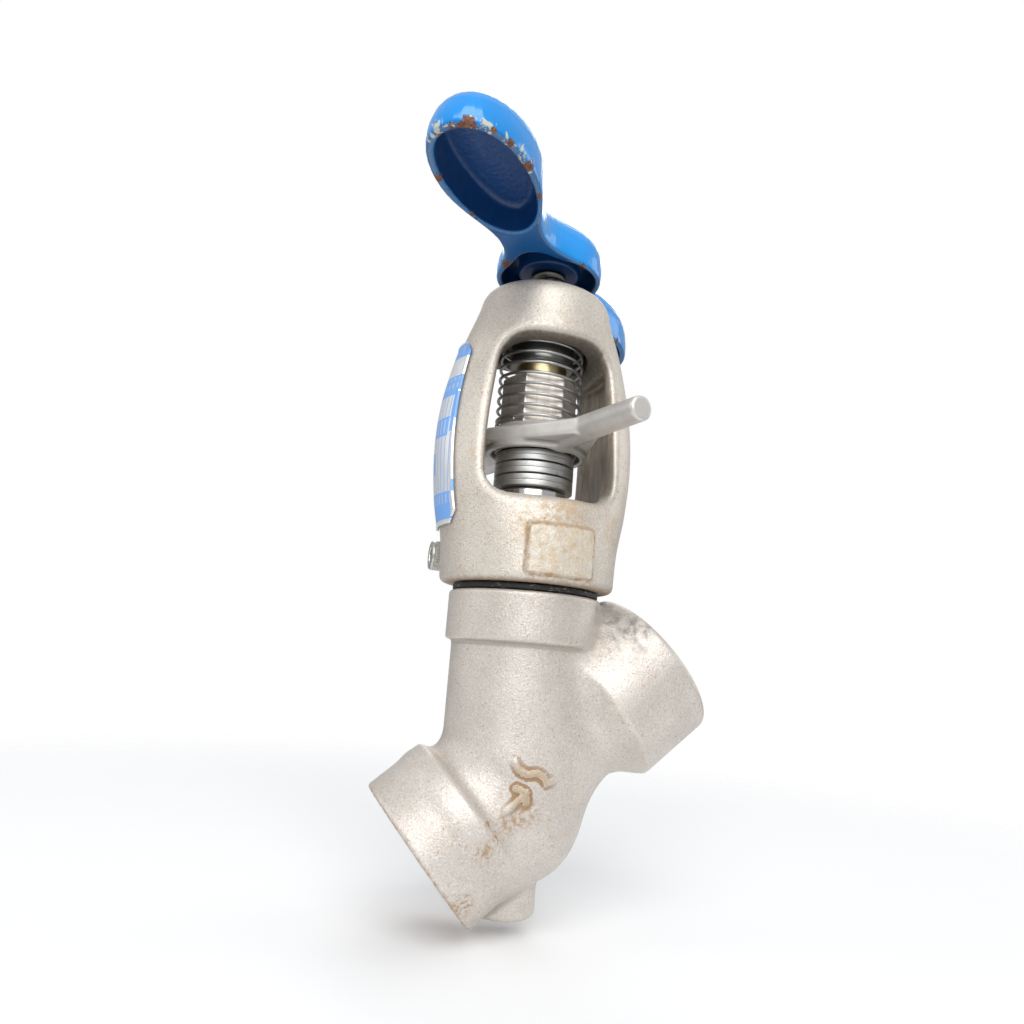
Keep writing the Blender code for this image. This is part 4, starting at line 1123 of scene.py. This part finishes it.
def enamel_material():
    """Gloss blue enamel over primer, chipped to rusty iron at its edges, with painted shade in its
    hollows, on its rim's underside and in its cups, and a painted highlight along the rim's edge.
    """
    paint = Paint("blue_enamel", (0.008, 0.26, 0.72), 0.16, 0.0)
    paint.cover(paint.patches(0.35, 0.7, 18.0, 3.0, 0.5, seed=4.0), (0.010, 0.30, 0.80))
    height = paint.axis("Z")
    # Painted shade: hollows darkened.
    hollow = paint.hollows(0.10, 0.8)
    paint.cover(paint.times(hollow, 0.4), (0.005, 0.10, 0.33))
    # Painted shade: the rim's downward face painted dark navy.
    under = paint.between(height, HANDLE_LOW + 0.55, HANDLE_LOW + 0.15)
    paint.cover(under, (0.006, 0.10, 0.31), 0.22)
    # Painted shade: the walls and ceilings of the cups painted dark navy.
    paint.cover(paint.stored("inside"), (0.005, 0.05, 0.18), 0.3)
    # Painted highlight: a pale line along the rim's outward edge.
    line = paint.ridges(0.5, 0.85)
    paint.cover(paint.times(line, under, 0.35), (0.20, 0.34, 0.48), 0.3)
    flakes = paint.noise(3.0, 5.0, 0.62, warp=0.5, seed=14.0)
    low_wall = paint.between(height, HANDLE_LOW + 5.5, HANDLE_LOW + 0.6)
    tips = paint.between(paint.off(paint.axis("Y")), 46.0, 60.0)
    ready = paint.times(paint.span(low_wall, 0.62, 1.0), paint.span(tips, 0.7, 1.0))
    primer = paint.between(paint.times(flakes, ready), 0.525, 0.54)
    primer = paint.times(primer, paint.minus(1.0, paint.stored("inside")))
    bare = 0.0
    for along, sideways, radius in CHIPS:
        x = along * math.cos(HANDLE_TURN) - sideways * math.sin(HANDLE_TURN)
        y = along * math.sin(HANDLE_TURN) + sideways * math.cos(HANDLE_TURN)
        spot = paint.near((x, y, HANDLE_LOW + 0.3), radius * 0.8, radius * 0.95, radius * 1.3, 1.5)
        bare = paint.larger(bare, spot)
    tone = paint.blend(paint.noise(1.0, 3.0, seed=5.0), (0.50, 0.52, 0.45), PRIMER)
    paint.cover(primer, tone, 0.5)
    mottle = paint.patches(0.3, 0.7, 0.8, 4.0, 0.7, seed=3.0)
    iron = paint.blend(mottle, (0.07, 0.03, 0.022), (0.29, 0.125, 0.07))
    paint.cover(bare, iron, 0.8)
    paint.bump(paint.noise(5.0, 2.0, 0.4, seed=9.0), 0.12, 0.5)
    casting = paint.between(height, HANDLE_LOW + 7.0, HANDLE_LOW + 9.0)
    inside = paint.times(casting, paint.between(height, HANDLE_LOW + 12.0, HANDLE_LOW + 11.2))
    paint.bump(paint.times(paint.noise(1.8, 5.0, 0.6, seed=18.0), inside), 0.7, 0.5)
    paint.bump(paint.minus(1.0, paint.larger(primer, bare)), 0.6, 0.12)
    return paint.done(Coat_Weight=0.12, Coat_Roughness=0.05)


def gap_shade_material():
    """Near-black ring in the gap over the body, as painted shade in the gap, with a few bright
    flecks.
    """
    paint = Paint("black_gap", (0.018, 0.018, 0.02), 0.55, 0.0)
    flecks = paint.patches(0.54, 0.62, 0.7, 5.0, 0.75, (1.8, 1.8, 0.7), seed=2.0)
    where = paint.patches(0.42, 0.60, 7.0, 3.0, 0.6, seed=4.0)
    paint.cover(paint.times(flecks, where, 0.9), (0.46, 0.44, 0.40), 0.35, 0.8)
    paint.bump(paint.noise(0.6, 3.0), 0.5, 0.1)
    return paint.done()


def zinc_material():
    """Dull zinc plate, for the screw, nut and washer, with painted shade in its hollows."""
    paint = Paint("zinc_plate", (0.62, 0.61, 0.56), 0.33, 1.0)
    paint.cover(paint.patches(0.42, 0.68, 1.8, 4.0, 0.6), (0.48, 0.48, 0.46), 0.42)
    # Painted shade: hollows darkened nearly to black.
    paint.cover(paint.hollows(0.15, 0.9), (0.14, 0.13, 0.12), 0.6)
    paint.bump(paint.noise(0.5, 2.0), 0.15, 0.03)
    return paint.done()


def graphite_material():
    paint = Paint("graphite", (0.06, 0.06, 0.065), 0.5, 0.1)
    paint.cover(paint.patches(0.4, 0.7, 0.5, 4.0), (0.11, 0.11, 0.115), 0.38)
    paint.bump(paint.noise(0.4, 3.0, stretch=(4.0, 4.0, 0.5)), 0.3, 0.05)
    return paint.done()


PLATE_BLUE = (0.19, 0.42, 0.86)
# Printed blocks on the nameplate, as (centre Y, centre Z, half width, half height)
PLATE_BLOCKS = ((0.0, 127.0, 9.0, 2.5), (0.0, 114.8, 9.6, 3.3), (-9.3, 106.0, 0.9, 6.4),
                (-3.6, 101.6, 4.6, 3.0), (-0.4, 90.7, 1.0, 3.3), (0.0, 77.3, 10.4, 4.0))
# Pale ticks run across the print in these bands, as (centre Z, half height)
PLATE_TICKS = ((79.3, 1.3), (101.6, 2.2), (114.8, 0.8), (117.0, 0.5))


def plate_material():
    """Satin aluminium plate with blue printed blocks and ruled lines."""
    paint = Paint("printed_plate", (0.80, 0.81, 0.82), 0.38, 0.5)
    brushed = paint.noise(0.3, 3.0, 0.6, (1.0, 1.0, 30.0))
    paint.cover(paint.times(paint.between(brushed, 0.4, 0.6), 0.3), (0.58, 0.60, 0.64))
    across, up = paint.axis("Y"), paint.axis("Z")
    printed = 0.0
    for y, z, half_y, half_z in PLATE_BLOCKS:
        from_y = paint.maths("DIVIDE", paint.off(across, y), half_y)
        from_z = paint.maths("DIVIDE", paint.off(up, z), half_z)
        inside = paint.below(paint.larger(from_y, from_z), 1.0)
        printed = paint.larger(printed, inside)
    ruled = paint.below(paint.maths("PINGPONG", across, 0.95), 0.15)
    middle = paint.below(paint.off(up, 90.2), 9.0)
    upper = paint.below(paint.off(up, 108.0), 3.4)
    lines = paint.times(ruled, paint.larger(middle, upper))
    ticks = paint.below(paint.maths("PINGPONG", paint.plus(across, 0.4), 1.0), 0.32)
    bands = 0.0
    for z, half in PLATE_TICKS:
        band = paint.below(paint.off(up, z), half)
        bands = paint.larger(bands, band)
    cleared = paint.times(ticks, bands, 0.6)
    ink = paint.times(paint.larger(printed, lines), paint.minus(1.0, cleared))
    worn = paint.patches(0.70, 0.62, 2.0, 5.0, 0.7, seed=7.0)
    paint.cover(paint.times(ink, worn), PLATE_BLUE, 0.4, 0.1)
    haze = paint.patches(0.50, 0.66, 3.0, 4.0, 0.6, seed=12.0)
    faint = paint.times(haze, paint.between(up, 112.0, 120.0))
    paint.cover(paint.times(faint, 0.3), (0.45, 0.52, 0.62), 0.4)
    paint.bump(paint.noise(5.0, 2.0), 0.25, 0.3)
    return paint.done()


# ---------------------------------------------------------------- camera, light and floor

CAMERA_PLACE = (-0.06795, -0.23133, 0.03414)
CAMERA_AHEAD, CAMERA_UP = (0.25368, 0.94929, 0.18574), (-0.12471, -0.15832, 0.97948)
CAMERA_LENS = 27.39
# Name, place, what it points at, diameter in metres, power in watts
LIGHTS = (("key", (-0.25, -1.0, 0.75), (0.0, 0.0, 0.08), 1.3, 15.0),
          ("left", (-1.1, 0.1, 0.5), (0.0, 0.0, 0.08), 0.8, 2.0),
          ("right", (1.1, 0.1, 0.4), (0.0, 0.0, 0.06), 0.8, 2.0),
          ("back", (0.3, 1.0, 0.9), (0.0, 0.0, 0.08), 0.8, 3.0))
WORLD_BELOW, WORLD_ABOVE = 0.10, 0.62       # strength of the room's light
FLOOR_RADIUS = 0.5


def add_camera():
    """Low in front of the inlet side, looking up along the valve with a slight roll."""
    data = bpy.data.cameras.new("camera")
    data.sensor_width, data.lens = 36.0, CAMERA_LENS
    data.clip_start, data.clip_end = 0.01, 30.0
    camera = bpy.data.objects.new("camera", data)
    bpy.context.scene.collection.objects.link(camera)
    ahead = Vector(CAMERA_AHEAD).normalized()
    right = ahead.cross(Vector(CAMERA_UP)).normalized()
    up = right.cross(ahead)
    turn = Matrix((right, up, -ahead)).transposed().to_4x4()
    camera.matrix_world = Matrix.Translation(CAMERA_PLACE) @ turn
    bpy.context.scene.camera = camera


def add_light(name, place, aim, size, power):
    data = bpy.data.lights.new(name, "AREA")
    data.shape, data.size, data.energy = "DISK", size, power
    light = bpy.data.objects.new(name, data)
    bpy.context.scene.collection.objects.link(light)
    direction = Vector(aim) - Vector(place)
    light.rotation_mode = "QUATERNION"
    light.location, light.rotation_quaternion = place, direction.to_track_quat("-Z", "Y")


def add_world():
    """A white room: to the eye evenly white, as a light stronger from above."""
    world = bpy.data.worlds.new("white_room")
    bpy.context.scene.world = world
    world.use_nodes = True
    tree = world.node_tree
    seen, light = tree.nodes["Background"], tree.nodes.new("ShaderNodeBackground")
    seen.inputs["Color"].default_value = (1.0, 1.0, 1.0, 1.0)
    seen.inputs["Strength"].default_value = 1.0
    light.inputs["Color"].default_value = (0.96, 0.98, 1.0, 1.0)
    place, split = tree.nodes.new("ShaderNodeTexCoord"), tree.nodes.new("ShaderNodeSeparateXYZ")
    level = tree.nodes.new("ShaderNodeMapRange")
    level.interpolation_type = "SMOOTHSTEP"
    span = {"From Min": -0.75, "From Max": 0.85, "To Min": WORLD_BELOW, "To Max": WORLD_ABOVE}
    for key, value in span.items():
        level.inputs[key].default_value = value
    path, mix = tree.nodes.new("ShaderNodeLightPath"), tree.nodes.new("ShaderNodeMixShader")
    tree.links.new(place.outputs["Generated"], split.inputs[0])
    tree.links.new(split.outputs["Z"], level.inputs["Value"])
    tree.links.new(level.outputs["Result"], light.inputs["Strength"])
    tree.links.new(path.outputs["Is Camera Ray"], mix.inputs[0])
    tree.links.new(light.outputs[0], mix.inputs[1])
    tree.links.new(seen.outputs[0], mix.inputs[2])
    tree.links.new(mix.outputs[0], tree.nodes["World Output"].inputs["Surface"])


def add_floor():
    """A pale round floor that fades into the white room."""
    mesh = bpy.data.meshes.new("floor")
    low, count = CAD_BOX[0].z - 0.002, 96
    turns = [TAU * k / count for k in range(count)]
    ring = [(FLOOR_RADIUS * math.cos(a), FLOOR_RADIUS * math.sin(a), low) for a in turns]
    mesh.from_pydata(ring, [], [tuple(range(count))])
    paint = Paint("floor_white", (0.88, 0.885, 0.89), 0.75, 0.0)
    material = paint.done()
    fade = paint.between(paint.distance_out(), 0.45 * FLOOR_RADIUS / MM, 0.95 * FLOOR_RADIUS / MM)
    clear, mix = paint.node("BsdfTransparent"), paint.node("MixShader")
    paint.feed(mix.inputs[0], fade)
    paint.feed(mix.inputs[1], paint.shader.outputs[0])
    paint.feed(mix.inputs[2], clear.outputs[0])
    paint.feed(paint.tree.nodes["Material Output"].inputs["Surface"], mix.outputs[0])
    mesh.materials.append(material)
    floor = bpy.data.objects.new("floor", mesh)
    bpy.context.scene.collection.objects.link(floor)


# ---------------------------------------------------------------- the valve

FINE = 1.0


def netted(name, shape, node, cell, material, body, front=0.0):
    """Mesh a shape in its CAD node's box, with some room in front, and show it in its place."""
    low, high = ([value / MM for value in corner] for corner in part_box(node))
    low[1] -= front
    mesh = net_mesh(name, shape, low, high, cell * FINE)
    return show(name, mesh, material, body, [node])


def build_castings():
    netted("body_forging", body_shape, "valve_body", 0.62, body_material(), "valve")
    yoke = netted("yoke_forging", yoke_shape, "yoke", 0.55, yoke_material(), "valve",
                  front=1.0)
    mark_window_inside(yoke.data)
    cast = cast_material("wrench_steel", 60.0)
    netted("wrench_casting", wrench_shape, "gland_wrench", 0.42, cast, "spanner")
    low, high = (-82.0, -18.5, HANDLE_LOW - 1.0), (82.0, 18.5, HANDLE_HIGH + 1.0)
    handle = net_mesh("handle_casting", handle_shape, low, high, 0.55 * FINE)
    mark_handle_inside(handle)
    handle.transform(Matrix.Rotation(HANDLE_TURN, 4, "Z"))
    show("handle_casting", handle, enamel_material(), "operator", ["handle"])


def build_fixings():
    shape = nut_shape(21.0, NUT_TURN, 8.6, NUT_LOW, NUT_HIGH, 0.9)
    netted("gland_nut_hexagon", shape, "gland_nut", 0.32, nut_material(), "adjuster")
    zinc = zinc_material()
    shape = nut_shape(13.0, math.radians(20), 4.15, *heights("handle_nut"), 0.3)
    netted("handle_hex_nut", shape, "handle_nut", 0.24, zinc, "operator")
    netted("clamp_cap_screw", clamp_screw_shape, "clamp_screw", 0.24, zinc, "valve")
    low, high = heights("handle_washer")
    section = rounded([(4.3, low), (8.5, low), (8.5, high), (4.3, high)], 0.35)
    show("handle_flat_washer", turned_mesh("washer", section), zinc, "operator",
         ["handle_washer"], sharp=40)


def build_stack():
    """The live-loaded gland: everything from the polished bush up to the upper race."""
    polished = turned_steel("polished_steel", (0.74, 0.74, 0.74), 0.13, 0.2,
                            dirt=(0.34, 0.33, 0.32))
    show("polished_gland", turned_mesh("gland", gland_profile(), 192), polished,
         "gland_stack", ["gland"], sharp=40)
    spring = turned_steel("disc_spring_steel", (0.60, 0.60, 0.59), 0.46, 0.5, 4.0)
    for k in range(6):
        node = f"disc_spring_{k + 1}"
        mesh = turned_mesh(node, disc_spring_profile(node, k % 2 == 0), 160)
        show(f"coned_washer_{k + 1}", mesh, spring, "gland_stack", [node], sharp=50)
    for node, body in (("thrust_race_lower", "gland_stack"), ("thrust_race_upper", "adjuster")):
        mesh = turned_mesh(node, ring_profile(node, STEM_BORE, 0.15, 3), 160)
        show(f"{node}_disc", mesh, polished, body, [node], sharp=50)
    dark = turned_steel("cage_steel", (0.16, 0.16, 0.17), 0.35, 0.4, 8.0)
    netted("needle_cage", cage_shape, "thrust_cage", 0.2, dark, "gland_stack")
    middle = (CAGE_LOW + CAGE_HIGH) / 2
    rollers = [needle(TAU * k / NEEDLES, middle, 0.56, 8.6, 13.2) for k in range(NEEDLES)]
    show("needle_rollers", join_meshes("rollers", rollers), polished,
         "gland_stack", ["thrust_cage"], sharp=50)


def build_stem():
    """The bronze bushing, the stem through it, and the dark ring in the gap over the body."""
    show("bronze_bushing", turned_mesh("bushing", bushing_profile(), 160), bronze_material(),
         "valve", ["yoke_bushing"], sharp=40)
    # Painted shade: the stem's steel is painted dark to stand for its shade.
    shaded_stem = turned_steel("shaded_stem_steel", (0.30, 0.29, 0.27), 0.34, 0.4, 22.0)
    show("threaded_stem", stem_mesh(), shaded_stem, "operator", ["stem"], sharp=50)
    section = ring_profile("neck_seal_ring", NECK_RADIUS + 0.3, 0.5)
    # The ring's near-black is painted shade in the gap.
    show("neck_gap_ring", turned_mesh("gap_ring", section, 192), gap_shade_material(),
         "valve", ["neck_seal_ring"])


def build_spring():
    steel = turned_steel("spring_wire", (0.46, 0.455, 0.445), 0.34, 0.2, 12.0)
    mesh = tube_along("return_spring", spring_points(72), COIL_WIRE)
    spring = show("return_spring", mesh, steel,
                  "valve", ["wrench_spring"], sharp=60)
    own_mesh(spring)


def build_plate():
    """The plate follows the leg; its edge curls and its face is a little uneven."""
    low, high = heights("nameplate")
    rows, columns, clip = 114, 44, 3.6
    points = []
    for lift in (0.32, 0.95):
        for row in range(rows + 1):
            z = low + (high - low) * row / rows
            near_end = min(z - low, high - z)
            half = 12.0 - 3.4 * (z - low) / (high - low) - max(0.0, clip - near_end) * 0.85
            for column in range(columns + 1):
                share = -1 + 2 * column / columns
                y = half * share
                rim = max(abs(share), 1 - near_end / 10.0)
                ripple = 0.05 * math.sin(z / 4.1) * math.sin(y / 3.0)
                height = lift + 0.25 * max(0.0, rim - 0.9) / 0.1 + ripple
                width = through_stations(np.array([z]), YOKE_STATIONS, 1)[0] + height
                depth = through_stations(np.array([z]), YOKE_STATIONS, 2)[0] + height
                points.append((-width * math.sqrt(1 - (y / depth) ** 2), y, z))
    stride, layer = columns + 1, (rows + 1) * (columns + 1)
    faces = []
    for row in range(rows):
        for column in range(columns):
            a = row * stride + column
            faces.append((a, a + 1, a + stride + 1, a + stride))
            faces.append((layer + a, layer + a + stride, layer + a + stride + 1, layer + a + 1))
    for row in range(rows):
        for column in (0, columns):
            a, b = row * stride + column, (row + 1) * stride + column
            side = (a, b, layer + b, layer + a)
            faces.append(side if column == 0 else side[::-1])
    for column in range(columns):
        for row in (0, rows):
            a, b = row * stride + column, row * stride + column + 1
            side = (b, a, layer + a, layer + b)
            faces.append(side if row == 0 else side[::-1])
    mesh = join_meshes("plate", [(points, faces)])
    show("printed_nameplate", mesh, plate_material(), "valve", ["nameplate"], sharp=40)


def paint_hidden():
    """CAD nodes inside the valve keep their shape and get a finish of their own."""
    graphite = graphite_material()
    steel = turned_steel("trim_steel", (0.66, 0.66, 0.65), 0.22, 0.3, 16.0)
    for node, item in frame["nodes"].items():
        if node.startswith("packing_ring"):
            item.data.materials.clear()
            item.data.materials.append(graphite)
        if node in ("backseat_bushing", "disc", "disc_nut"):
            item.data.materials.clear()
            item.data.materials.append(steel)


def main():
    scene = bpy.context.scene
    scene.view_settings.view_transform = "Standard"
    add_camera()
    add_world()
    add_floor()
    for light in LIGHTS:
        add_light(*light)
    build_castings()
    build_fixings()
    build_stack()
    build_stem()
    build_spring()
    build_plate()
    paint_hidden()


main()
